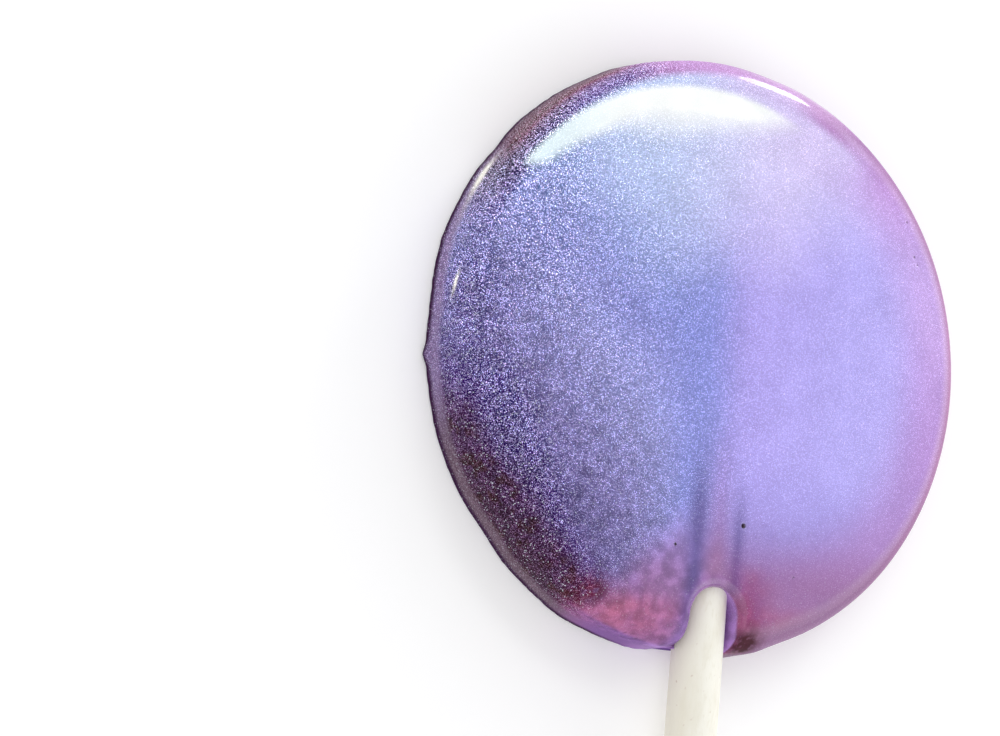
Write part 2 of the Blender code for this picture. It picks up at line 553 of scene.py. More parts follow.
@dataclass(frozen=True)
class ClearSugar:
    """Clearer sugar on both sides of the notch: painted light through it, pink, and warm where most
    light comes through, with painted shade beside the stick.
    """

    # Painted light through the clearer sugar.
    pink: Ramp = (
        (-24.5, on_screen(144, 92, 140)),
        (-22.3, on_screen(178, 112, 156)),
        (-20.3, on_screen(163, 117, 166)),
        (-18.4, on_screen(158, 119, 173)),
        (-16.5, on_screen(160, 132, 195)),
        (-14.5, on_screen(165, 148, 217)),
        (-11.0, on_screen(172, 160, 236)),
    )
    # Painted shade: darker wine beside the stick.
    painted_shade_by_stick: Colour = on_screen(154, 74, 120)
    # Painted light: warm coral where most light comes through.
    coral: Colour = on_screen(168, 88, 110)
    violet: Colour = on_screen(124, 104, 182)
    vein: Colour = on_screen(104, 62, 120)
    blood: Colour = on_screen(104, 32, 56)
    top: float = -14.2
    slope: float = 1.04
    slopes_left_of: float = -4.2
    left_soft: Span = (-2.4, 2.6)
    right_soft: Span = (-6.5, 3.0)
    sides_meet: Span = (-1.0, 2.5)
    near_across: Span = (3.3, 2.0)
    near_down: Span = (-16.8, -19.4)
    coral_along: Span = (-22.3, 1.3)
    coral_left: Span = (-7.4, 3.0)
    coral_right: Span = (6.6, 3.0)
    dried_across: Span = (-11.3, 1.6)
    dried_along: Span = (-20.8, 1.3)
    violet_blots: Blots = Blots(2.6, 3.0, (0.5, 0.66))
    coral_blots: Blots = Blots(2.4, 1.5, (0.1, 0.7))
    clots: Blots = Blots(0.5, 4.0, (0.2, 0.55))
    vein_size: float = 1.1
    vein_width: float = 0.03
    vein_from: Span = (0.4, 1.0)

    def share(self, at: Surface) -> Wire:
        """Where the sugar is clearer and holds few flakes.

        Args:
            at: The point.

        Returns:
            The share, 1 where it is clearest.
        """
        slope = self.slope * (at.x - self.slopes_left_of).least(0.0)
        below = self.top + slope + at.wobble * 0.8 - at.y
        left = below.rise(*self.left_soft)
        right = below.rise(*self.right_soft)
        return left + (right - left) * at.x.rise(*self.sides_meet)

    def lay(self, at: Surface, paint: Wire, clear: Wire) -> Wire:
        """Paint it over the sugar, with its veins and its dried blot.

        Args:
            at: The point.
            paint: The paint so far.
            clear: How clear the sugar is.

        Returns:
            The paint with it.
        """
        bench, place, x, y = at.bench, at.place, at.x, at.y
        paint = bench.blend(paint, bench.ramp(y, self.pink), clear * 0.92)
        near = x.hill(*self.near_across) * y.rise(*self.near_down)
        paint = bench.blend(paint, self.painted_shade_by_stick, near * 0.85)
        drift = self.violet_blots.over(bench, place)
        paint = bench.blend(paint, self.violet, drift * clear * 0.14)
        across = x.hill(*self.coral_left) + x.hill(*self.coral_right) * 0.6
        spots = across * y.hill(*self.coral_along) * self.coral_blots.over(bench, place)
        paint = bench.blend(paint, self.coral, spots.least(1.0) * 0.8)
        veins = (bench.cloud(place, self.vein_size, 4.0) - 0.5).size().rise(self.vein_width, 0.0)
        paint = bench.blend(paint, self.vein, veins * clear.rise(*self.vein_from) * 0.15)
        clots = self.clots.over(bench, place)
        dried = x.hill(*self.dried_across) * y.hill(*self.dried_along) * clots
        return bench.blend(paint, self.blood, dried * 0.85)


@dataclass(frozen=True)
class RightRing:
    """The pinker ring where the face starts to fall to the rim, on the right and at the top: painted
    light, with a painted shade of darker magenta on the top rim.
    """

    # Painted light: the pinker ring.
    ring: Ramp = (
        (-19.0, on_screen(166, 118, 168)),
        (-15.0, on_screen(180, 141, 204)),
        (-10.5, on_screen(184, 148, 214)),
        (-5.4, on_screen(192, 153, 220)),
        (0.0, on_screen(199, 164, 229)),
        (5.4, on_screen(208, 176, 238)),
        (10.5, on_screen(206, 175, 239)),
        (18.0, on_screen(202, 158, 225)),
        (21.0, on_screen(204, 160, 226)),
    )
    # Painted shade: darker magenta on the top rim.
    top: Colour = on_screen(176, 112, 182)
    outward: Span = (15.5, 22.0)
    from_left: Span = (-2.0, 7.0)
    from_below: Span = (-21.5, -17.0)
    fades_up: Span = (13.0, 19.0)
    fades_left: Span = (14.5, 9.5)
    top_outward: Span = (21.3, 22.6)
    top_up: Span = (10.0, 16.0)
    top_patch: Span = (8.4, 3.6)
    top_left: Span = (-7.0, 0.0)
    top_right: Span = (18.0, 13.0)

    def lay(self, at: Surface, paint: Wire) -> Wire:
        """Paint it over the sugar.

        Args:
            at: The point.
            paint: The paint so far.

        Returns:
            The paint with it.
        """
        bench, x, y, radius = at.bench, at.x, at.y, at.away()
        share = radius.rise(*self.outward) * x.rise(*self.from_left) * y.rise(*self.from_below)
        share = share * (1.0 - 0.8 * y.rise(*self.fades_up) * x.rise(*self.fades_left))
        paint = bench.blend(paint, bench.ramp(y, self.ring), share * 0.9)
        along = x.rise(*self.top_left) * x.rise(*self.top_right) * 0.2
        along = (x.hill(*self.top_patch) * 0.75).most(along)
        top = radius.rise(*self.top_outward) * along * y.rise(*self.top_up)
        return bench.blend(paint, self.top, top)


@dataclass(frozen=True)
class BuriedStick:
    """The stick, faint through the candy, painted on the face: its lit paper is a light band between
    two bands of painted shade.
    """

    # The stick's lit paper, painted as seen through the sugar.
    light: Ramp = (
        (-19.0, on_screen(164, 122, 164)),
        (-17.0, on_screen(160, 118, 166)),
        (-14.5, on_screen(160, 132, 194)),
        (-11.0, on_screen(168, 150, 220)),
    )
    # Painted shade: the dark bands beside the buried stick.
    dark: Colour = on_screen(103, 93, 155)
    painted_shade_low: Colour = on_screen(112, 76, 140)
    left: Span = (-2.35, 1.05)
    left_down: Span = (-6.5, -15.0)
    right: Span = (1.6, 0.65)
    right_down: Span = (-9.0, -16.0)
    right_reddens: Span = (-15.0, -18.0)
    middle: Span = (-0.35, 1.1)
    middle_down: Span = (-5.5, -12.0)

    def lay(self, at: Surface, paint: Wire) -> Wire:
        """Paint it over the sugar.

        Args:
            at: The point.
            paint: The paint so far.

        Returns:
            The paint with it.
        """
        bench, x, y = at.bench, at.x, at.y
        left = x.hill(*self.left) * y.rise(*self.left_down)
        paint = bench.blend(paint, self.dark, left * 0.85)
        right = x.hill(*self.right) * y.rise(*self.right_down)
        dark = bench.blend(self.dark, self.painted_shade_low, y.rise(*self.right_reddens))
        paint = bench.blend(paint, dark, right * 0.65)
        middle = x.hill(*self.middle) * y.rise(*self.middle_down)
        return bench.blend(paint, bench.ramp(y, self.light), middle * 0.9)


@dataclass(frozen=True)
class BurntPatch:
    """The small burnt patch on the edge, just right of the notch."""

    colour: Colour = on_screen(62, 20, 30)
    across: Span = (3.9, 1.5)
    along: Span = (-23.9, 1.2)
    clots: Blots = Blots(0.5, 4.0, (0.3, 0.6))

    def share(self, at: Surface) -> Wire:
        """Where the sugar is burnt."""
        clots = self.clots.over(at.bench, at.place) * 0.5 + 0.75
        return (at.x.hill(*self.across) * at.y.hill(*self.along) * clots).least(0.95)


@dataclass(frozen=True)
class Shoulder:
    """The rounded shoulder: painted shade makes it dark and full of flakes at the upper left, and
    painted light makes it light on the right.
    """

    # Painted shade: the dark upper left of the shoulder.
    down_left: Ramp = (
        (0.3, on_screen(138, 132, 184)),
        (0.5, on_screen(144, 129, 188)),
        (0.68, on_screen(148, 124, 172)),
        (0.85, on_screen(140, 88, 124)),
        (1.0, on_screen(132, 94, 114)),
    )
    # Painted light and shade along the falling edge on the right and at the top.
    edge: Ramp = (
        (-22.0, on_screen(146, 108, 148)),
        (-14.0, on_screen(156, 103, 149)),
        (0.0, on_screen(175, 115, 160)),
        (14.0, on_screen(166, 112, 162)),
        (20.5, on_screen(160, 110, 166)),
        (23.0, on_screen(198, 148, 208)),
    )
    low: Colour = on_screen(138, 130, 174)
    line: Colour = on_screen(138, 96, 158)
    starts: Span = (0.25, 0.45)
    left_up: Span = (4.0, 12.0)
    left_across: Span = (-5.0, -12.0)
    low_fades: Span = (15.0, 11.0)
    top_up: Span = (18.0, 21.0)
    top_across: Span = (-13.0, -7.5)
    right_across: Span = (2.0, 7.0)
    line_across: Span = (-4.0, 1.0)
    low_down: Span = (0.5, 0.7)
    top_down: Span = (0.2, 0.45)
    right_down: Span = (0.02, 0.42)
    line_down: Span = (0.5, 0.8)

    def share(self, at: Surface) -> Wire:
        """Where the painted shade at the upper left is."""
        return at.rim.rise(*self.starts) * at.y.rise(*self.left_up) * at.x.rise(*self.left_across)

    def lay(self, at: Surface, paint: Wire, dark: Wire) -> Wire:
        """Paint it over the sugar.

        Args:
            at: The point.
            paint: The paint so far.
            dark: Where the painted shade at the upper left is.

        Returns:
            The paint with it.
        """
        bench, x, y, rim = at.bench, at.x, at.y, at.rim
        low = y.rise(*self.low_fades) * rim.rise(*self.low_down) * 0.85
        down = bench.blend(bench.ramp(rim, self.down_left), self.low, low)
        paint = bench.blend(paint, down, dark)
        top = rim.rise(*self.top_down) * y.rise(*self.top_up) * x.rise(*self.top_across)
        right = (rim.rise(*self.right_down) * x.rise(*self.right_across)).most(top)
        paint = bench.blend(paint, bench.ramp(y, self.edge), right * 0.9)
        line = rim.rise(*self.line_down) * x.rise(*self.line_across) * y.rise(*self.left_up)
        return bench.blend(paint, self.line, line * 0.65)


@dataclass(frozen=True)
class PaintedPearlHighlight:
    """A painted highlight: the soft pearl light along the upper left of the face, thinner towards the
    left.
    """

    colour: Colour = on_screen(252, 255, 255)
    tail: Colour = on_screen(230, 246, 253)
    tail_across: Span = (-11.0, -19.0)
    inner_centre: Point = (-1.2, -1.3)
    inner_radius: float = 19.6
    thinner: float = 1.8
    thinner_across: Span = (-6.0, -14.0)
    soft: float = 2.2
    sharper: float = 1.6
    sharper_across: Span = (-8.0, -15.0)
    outer_centre: Point = (-2.95, 0.38)
    outer_edge: Span = (21.7, 20.9)
    lengthways: Point = (-0.375, 0.927)
    starts: Span = (15.8, 19.2)
    cut_off: Span = (11.3, 12.8)
    tail_narrows: float = 0.2

    def share(self, at: Surface) -> Wire:
        """Where the painted highlight lies.

        Args:
            at: The point.

        Returns:
            The share, 1 where it is full.
        """
        x, y = at.x, at.y
        middle = self.inner_radius + self.thinner * x.rise(*self.thinner_across)
        middle = middle - self.tail_narrows * (x - self.thinner_across[1]).least(0.0)
        soft = self.soft - self.sharper * x.rise(*self.sharper_across)
        inner = ((at.away(*self.inner_centre) - middle) / soft).rise(-1.0, 1.0)
        outer = at.away(*self.outer_centre).rise(*self.outer_edge)
        along = (y * self.lengthways[1] + x * self.lengthways[0]).rise(*self.starts)
        return inner * outer * along * y.rise(*self.cut_off)

    def lay(self, at: Surface, paint: Wire, bright: Wire) -> Wire:
        """Paint the highlight over the sugar, where it is bright."""
        colour = at.bench.blend(self.colour, self.tail, at.x.rise(*self.tail_across))
        return at.bench.blend(paint, colour, bright)


@dataclass(frozen=True)
class PaintedStreaks:
    """Two painted highlights: white streaks of light on the side wall at the left."""

    colour: Colour = on_screen(252, 250, 242)
    from_right: Span = (-20.0, -22.0)
    upper_height: Span = (1.75, 0.5)
    upper_core: Span = (11.3, 1.4)
    upper_glow: Span = (11.0, 3.4)
    glow: float = 0.25
    lower_height: Span = (3.6, 0.22)
    lower_along: Span = (1.9, 0.9)
    lower_slope: float = 0.25

    def share(self, at: Surface) -> Wire:
        """Where the painted streaks lie.

        Args:
            at: The point.

        Returns:
            The share, 1 where they are full.
        """
        y, z = at.y, at.z
        upper = y.hill(*self.upper_core) + self.glow * y.hill(*self.upper_glow)
        upper = z.hill(*self.upper_height) * upper
        lower = z - self.lower_slope * (y - self.lower_along[0])
        lower = lower.hill(*self.lower_height) * y.hill(*self.lower_along)
        return ((upper + lower) * at.x.rise(*self.from_right)).least(1.0)


@dataclass(frozen=True)
class SideWall:
    """The side wall on the left, with painted reflection and painted streaks, and the dark line of
    painted shade round its foot.
    """

    # Painted reflection: the greyer wall, lighter than the sugar beside it.
    left: Colour = on_screen(141, 121, 163)
    low_left: Colour = on_screen(116, 96, 112)
    top: Colour = on_screen(124, 98, 116)
    foot: Colour = on_screen(122, 86, 156)
    # Painted light: lighter at the notch's mouth, where the foot lies in shade.
    mouth: Colour = on_screen(166, 124, 196)
    # Painted shade: the dark line round the wall's foot.
    outline: Colour = on_screen(52, 14, 58)
    low_from: Span = (-4.0, -12.0)
    top_from: Span = (11.0, 16.0)
    left_across: Span = (8.0, 0.0)
    foot_left: Span = (-13.0, -8.0)
    foot_right: Span = (3.0, 0.0)
    foot_down: Span = (0.0, -6.0)
    mouth_across: Span = (-6.0, -3.5)
    outline_across: Span = (-3.0, -9.0)
    wall_down: Span = (0.1, 0.5)
    foot_down_rim: Span = (0.72, 0.92)
    outline_down: Span = (0.66, 0.88)

    def lay(self, at: Surface, paint: Wire, streak: Wire, streaks: Colour) -> Wire:
        """Paint it over the sugar.

        Args:
            at: The point.
            paint: The paint so far.
            streak: Where the painted streaks lie.
            streaks: Their colour.

        Returns:
            The paint with it.
        """
        bench, x, y, down = at.bench, at.x, at.y, at.wall
        foot = x.rise(*self.foot_left) * y.rise(*self.foot_down) * x.rise(*self.foot_right)
        wall = bench.blend(self.left, self.low_left, y.rise(*self.low_from))
        wall = bench.blend(wall, self.top, y.rise(*self.top_from))
        share = down.rise(*self.wall_down) * x.rise(*self.left_across) * (1.0 - foot) * 0.9
        paint = bench.blend(paint, wall, share)
        low = bench.blend(self.foot, self.mouth, x.rise(*self.mouth_across))
        paint = bench.blend(paint, low, at.rim.rise(*self.foot_down_rim) * foot * 0.75)
        paint = bench.blend(paint, streaks, streak)
        line = down.rise(*self.outline_down) * x.rise(*self.outline_across)
        return bench.blend(paint, self.outline, line)


@dataclass(frozen=True)
class Hollows:
    """The notch's walls, the back and the pits, with painted light on the notch's right wall and
    painted shade against the stick and in the pits.
    """

    left: Colour = on_screen(152, 106, 174)
    # Painted light: the notch's right wall, lighter against its shade.
    right: Colour = on_screen(172, 130, 200)
    # Painted shade: dark deep in the lip, against the stick.
    depth: Colour = on_screen(84, 44, 92)
    back: Colour = on_screen(140, 108, 176)
    # Painted shade in the pits.
    pit: Colour = on_screen(44, 20, 44)
    left_across: Span = (1.5, 0.0)
    right_across: Span = (0.5, 2.0)
    below: Span = (5.5, 5.0)
    lip_soft: Span = (0.1, 0.7)
    lip_deep: Span = (0.84, 0.98)
    lip_inside: Span = (0.9, 1.0)
    back_from: Span = (0.05, 0.0)
    pit_soft: Span = (0.2, 0.8)

    def lay_lip(self, at: Surface, paint: Wire) -> Wire:
        """Paint the lip on the left, with painted shade deep against the stick.

        Args:
            at: The point.
            paint: The paint so far.

        Returns:
            The paint with it.
        """
        left = at.x.rise(*self.left_across)
        paint = at.bench.blend(paint, self.left, at.lip.rise(*self.lip_soft) * left * 0.55)
        return at.bench.blend(paint, self.depth, at.lip.rise(*self.lip_deep) * left * 0.5)

    def lay(self, at: Surface, paint: Wire) -> Wire:
        """Paint the wall on the right as painted light against its shade, the back, and the pits in
        painted shade.

        Args:
            at: The point.
            paint: The paint so far.

        Returns:
            The paint with them.
        """
        inside = at.lip.rise(*self.lip_inside) * at.x.rise(*self.right_across)
        paint = at.bench.blend(paint, self.right, inside * at.z.rise(*self.below))
        paint = at.bench.blend(paint, self.back, at.z.rise(*self.back_from))
        return at.bench.blend(paint, self.pit, at.pit.rise(*self.pit_soft))


@dataclass(frozen=True)
class Areas:
    """Where the flakes and the gloss change, each from 0 to 1."""

    clear: Wire
    shoulder: Wire
    burnt: Wire
    # Where the painted streaks lie.
    streak: Wire
    # Where the painted highlight lies.
    bright: Wire
    dark_side: Wire
    near_edge: Wire
    smooth: Wire

    @property
    def plain(self) -> Wire:
        """Where there are hardly any flakes."""
        return self.burnt.most(self.streak)


@dataclass(frozen=True)
class Flakes:
    """The pearl flakes: they break the sugar's colour up, most of all on its dark side, and a few are
    painted glints.
    """

    cool: Colour = on_screen(226, 242, 255)
    warm: Colour = on_screen(255, 234, 252)
    # Painted glints: the colour of the few flakes that catch the light.
    painted_glint: Colour = on_screen(236, 242, 255)
    grey: float = 0.6
    growth: float = 11.0
    mean: float = 5442.0
    least: float = 0.13
    to_left: Span = (6.0, -18.0)
    calm_up: Span = (5.0, 14.0)
    calm_across: Span = (-19.0, -13.0)
    rough_across: Span = (-14.0, -18.0)
    rough_up: Span = (-3.0, 4.0)
    seldom: Span = (0.98, 0.992)
    strongest: float = 0.8
    cool_to_warm: Span = (0.2, 0.8)
    edge_weaker_up: Span = (-9.0, 0.0)
    clear_left: Span = (2.0, -2.0)
    mottle: Blots = Blots(1.1, 3.0, (0.3, 0.7))
    drift_size: float = 3.4

    def contrast(self, at: Surface, areas: Areas) -> Wire:
        """How strongly the flakes stand out.

        Args:
            at: The point.
            areas: Where the flakes and the gloss change.

        Returns:
            The strength, 0 for none.
        """
        x, y = at.x, at.y
        strength = 0.44 * x.rise(*self.to_left)
        strength = strength + (0.6 - 0.3 * y.rise(*self.edge_weaker_up)) * areas.near_edge
        calm = y.rise(*self.calm_up) * x.rise(*self.calm_across)
        strength = strength * (1.0 - 0.5 * calm)
        strength = strength + 0.2 * x.rise(*self.rough_across) * y.rise(*self.rough_up)
        strength = strength + self.least + 0.6 * areas.shoulder
        strength = strength * (1.0 - (0.4 + 0.42 * x.rise(*self.clear_left)) * areas.clear)
        strength = strength * (1.0 - 0.92 * areas.bright) * (1.0 - 0.7 * areas.smooth)
        return strength * (1.0 - 0.9 * areas.plain)

    def shade(self, at: Surface, areas: Areas) -> Wire:
        """Soft lighter and darker clouds of flakes, as a factor on the paint.

        Args:
            at: The point.
            areas: Where the flakes and the gloss change.

        Returns:
            The factor, about 1.
        """
        mottle = self.mottle.over(at.bench, at.place) * 0.5 - 0.25
        drift = at.bench.cloud(at.place, self.drift_size, 4.0) - 0.5
        drift = drift * (0.3 - 0.24 * areas.clear)
        return 1.0 + drift + mottle * areas.dark_side * (1.0 - areas.smooth)

    def scatter(self, bench: Bench, paint: Wire, contrast: Wire, dust: Wire) -> Wire:
        """Break a colour up into flakes, a few of them much brighter than the rest: painted glints.

        Args:
            bench: Where the nodes go.
            paint: Colour of the sugar.
            contrast: How strongly the flakes stand out.
            dust: Random numbers of the flakes.

        Returns:
            The colour with its flakes. On average it is as bright as the sugar.
        """
        bright, _, hue = bench.parts(dust)
        light = (bench.maths("EXPONENT", bright * self.growth) - 1.0) / self.mean
        grey = bench.add("ShaderNodeRGBToBW", None, {0: paint})
        tint = bench.blend(self.cool, self.warm, hue.rise(*self.cool_to_warm))
        flake = bench.blend(bench.blend(paint, grey, self.grey), tint, 1.0, "MULTIPLY")
        lit = bench.vector("ADD", paint, bench.scaled(flake, (light - 1.0) * contrast))
        return bench.vector("MAXIMUM", lit, (0.0, 0.0, 0.0))

    def add_glints(self, at: Surface, paint: Wire, contrast: Wire, areas: Areas) -> Wire:
        """Add painted glints: the few larger flakes that catch the light.

        Args:
            at: The point.
            paint: The paint so far.
            contrast: How strongly the flakes stand out.
            areas: Where the flakes and the gloss change.

        Returns:
            The paint with them.
        """
        chance, _, _ = at.bench.parts(at.bench.flakes(at.place, Grain.GLINT))
        strength = contrast + 0.08 * areas.clear * (1.0 - areas.plain)
        found = (chance + 0.008 * areas.near_edge).rise(*self.seldom)
        return at.bench.blend(paint, self.painted_glint, found * strength.least(self.strongest))


@dataclass(frozen=True)
class PearlCandy:
    """Translucent purple sugar full of pearl flakes, under a clear smooth gloss. Much of its colour is
    painted light and shade: light through the sugar, pearl sheen, highlights and glints, and shade at
    the lower left and in the hollows.

    Every place and width in its parts is in millimetres on the shown face. A span gives where
    a soft edge starts and where it is full, or the middle of a soft band and its half width.
    """

    sugar: Sugar = Sugar()
    clear_sugar: ClearSugar = ClearSugar()
    ring: RightRing = RightRing()
    stick: BuriedStick = BuriedStick()
    shoulder: Shoulder = Shoulder()
    burnt: BurntPatch = BurntPatch()
    hollows: Hollows = Hollows()
    # The painted highlight along the upper left.
    light: PaintedPearlHighlight = PaintedPearlHighlight()
    # The painted streaks on the side wall.
    streaks: PaintedStreaks = PaintedStreaks()
    wall: SideWall = SideWall()
    flakes: Flakes = Flakes()
    left_edge: Point = (-0.86, -0.42)
    edge_out: Span = (17.0, 20.5)
    dark_from: Span = (9.0, 17.0)
    dull: float = 0.85
    tilt: float = 0.5
    metal: float = 0.12
    roughness: float = 0.4
    gloss_roughness: float = 0.05
    gloss_ior: float = 1.49
    wobble_size: float = 6.0
    wobble_reach: float = 3.0
    smooth_wall: Span = (0.1, 0.4)
    smoother_down: Span = (0.0, -8.0)
    dull_out: Span = (19.5, 22.5)
    dull_across: Span = (4.0, -5.0)
    dull_rim: Span = (0.1, 0.5)
    glossy_up: Span = (14.0, 19.0)
    glossy_left: Span = (-8.0, -4.0)
    glossy_right: Span = (12.0, 7.0)

    def build(self) -> bpy.types.Material:
        """Make the material.

        Returns:
            The finished material.
        """
        material, bench = new_finish("pearl_candy")
        at = Surface.read_by(bench, self.wobble_size, self.wobble_reach)
        toward_left = self.sugar.toward_low_left(at)
        areas = self._areas(at, toward_left)
        contrast = self.flakes.contrast(at, areas)
        dust = bench.flakes(at.place, Grain.DUST)
        paint = bench.scaled(self._paint(at, areas, toward_left), self.flakes.shade(at, areas))
        paint = self.flakes.scatter(bench, paint, contrast, dust)
        paint = self.flakes.add_glints(at, paint, contrast, areas)
        tilt = bench.vector("SUBTRACT", dust, (0.5, 0.5, 0.5))
        straight = bench.add("ShaderNodeNewGeometry", None, None, "Normal")
        normal = bench.vector("ADD", straight, bench.scaled(tilt, contrast * self.tilt))
        bench.finish(
            {
                "Base Color": paint,
                "Roughness": self.roughness,
                "Metallic": contrast * self.metal,
                "Normal": bench.vector("NORMALIZE", normal),
                "Specular IOR Level": 0.0,
                "Coat Weight": 1.0 - self.dull * self._dull_share(at, areas),
                "Coat Roughness": self.gloss_roughness,
                "Coat IOR": self.gloss_ior,
            }
        )
        return material

    def _areas(self, at: Surface, toward_left: Wire) -> Areas:
        """Work out each area once.

        Args:
            at: The point.
            toward_left: How far it lies towards the lower left.

        Returns:
            The areas.
        """
        left = at.x * self.left_edge[0] + at.y * self.left_edge[1] + at.wobble * 0.5
        smooth = at.wall.rise(*self.smooth_wall) * (0.7 + 0.3 * at.y.rise(*self.smoother_down))
        return Areas(
            clear=self.clear_sugar.share(at),
            shoulder=self.shoulder.share(at),
            burnt=self.burnt.share(at),
            streak=self.streaks.share(at),
            bright=self.light.share(at),
            dark_side=toward_left.rise(*self.dark_from),
            near_edge=left.rise(*self.edge_out),
            smooth=smooth,
        )

    def _paint(self, at: Surface, areas: Areas, toward_left: Wire) -> Wire:
        """Lay every colour over the sugar, in order.

        Args:
            at: The point.
            areas: Where the paint changes.
            toward_left: How far the point lies towards the lower left.

        Returns:
            The paint, without its flakes.
        """
        paint = self.sugar.paint(at, toward_left)
        paint = self.clear_sugar.lay(at, paint, areas.clear)
        paint = self.ring.lay(at, paint)
        paint = self.stick.lay(at, paint)
        paint = self.shoulder.lay(at, paint, areas.shoulder)
        paint = at.bench.blend(paint, self.burnt.colour, areas.burnt)
        paint = self.hollows.lay_lip(at, paint)
        paint = self.light.lay(at, paint, areas.bright)
        paint = self.wall.lay(at, paint, areas.streak, self.streaks.colour)
        return self.hollows.lay(at, paint)

    def _dull_share(self, at: Surface, areas: Areas) -> Wire:
        """Where the gloss is weak: round the edge, but for its top, and on the burnt patch.

        Args:
            at: The point.
            areas: Where the flakes and the gloss change.

        Returns:
            The share of the gloss that is missing.
        """
        left = at.away().rise(*self.dull_out) * at.x.rise(*self.dull_across)
        glossy = at.x.rise(*self.glossy_left) * at.x.rise(*self.glossy_right)
        glossy = glossy * at.y.rise(*self.glossy_up)
        edge = at.rim.rise(*self.dull_rim) * (1.0 - glossy) * 0.8
        return left.most(edge).most(areas.burnt)


@dataclass(frozen=True)
class RolledPaper:
    """Tightly rolled off-white paper, matt, with a few fibres and specks, and painted shade on its
    left side.
    """

    sheet: Colour = on_screen(250, 248, 238)
    # Painted shade on the stick's left side.
    painted_shade_side: Colour = on_screen(226, 221, 204)
    shade: Colour = on_screen(228, 223, 204)
    fibre: Colour = on_screen(238, 234, 219)
    speck: Colour = on_screen(186, 156, 140)
    stretch: tuple[float, float, float] = (1.0, 0.3, 1.0)
    turns_away: Span = (0.6, -2.2)
    relief: float = 0.04 * MM
    relief_share: float = 0.25
    roughness: float = 0.72
    sheen: float = 0.3
    tone: Blots = Blots(1.4, 3.0, (0.45, 0.75))
    specks: Blots = Blots(0.6, 1.0, (0.72, 0.8))
    fibre_size: float = 0.22
    fibre_fades: Span = (0.52, 0.75)

    def build(self) -> bpy.types.Material:
        """Make the material.

        Returns:
            The finished material.
        """
        material, bench = new_finish("rolled_paper")
        place = bench.place()
        across, _, _ = bench.parts(place)
        along = bench.vector("MULTIPLY", place, self.stretch)
        paint = bench.blend(self.sheet, self.painted_shade_side, across.rise(*self.turns_away) * 0.8)
        paint = bench.blend(paint, self.shade, self.tone.over(bench, along) * 0.5)
        fibres = bench.cloud(along, self.fibre_size, 2.0)
        paint = bench.blend(paint, self.fibre, fibres.rise(*self.fibre_fades) * 0.6)
        paint = bench.blend(paint, self.speck, self.specks.over(bench, place) * 0.5)
        relief = {"Strength": self.relief_share, "Distance": self.relief, "Height": fibres}
        bench.finish(
            {
                "Base Color": paint,
                "Roughness": self.roughness,
                "Normal": bench.add("ShaderNodeBump", None, relief),
                "Specular IOR Level": self.sheen,
            }
        )
        return material


@dataclass(frozen=True)
class PaleTable:
    """Plain white table top under the lollipop."""

    colour: Colour = on_screen(251, 251, 252)
    lift: float = 0.1
    roughness: float = 0.9

    def build(self) -> bpy.types.Material:
        """Make the material.

        Returns:
            The finished material.
        """
        material, bench = new_finish("pale_table")
        bench.finish(
            {
                "Base Color": self.colour,
                "Roughness": self.roughness,
                "Specular IOR Level": 0.0,
                "Emission Color": self.colour,
                "Emission Strength": self.lift,
            }
        )
        return material


# ---------------------------------------------------------------------------
# Candy
# ---------------------------------------------------------------------------


@dataclass(frozen=True)
class Swell:
    """A swell or a dent of the hand-cast outline."""

    direction: float
    spread: float
    height: float

    def at(self, angle: float) -> float:
        """How far it stands off the true circle in one direction.

        Args:
            angle: The direction, in radians.

        Returns:
            The distance, in metres.
        """
        away = math.remainder(angle - math.radians(self.direction), math.tau)
        return self.height * math.exp(-((away / math.radians(self.spread)) ** 2))


@dataclass(frozen=True)
class Pit:
    """A burst bubble in the shown face: a round dent."""

    x: float
    y: float
    radius: float
    depth: float
    shade: float = 1.0


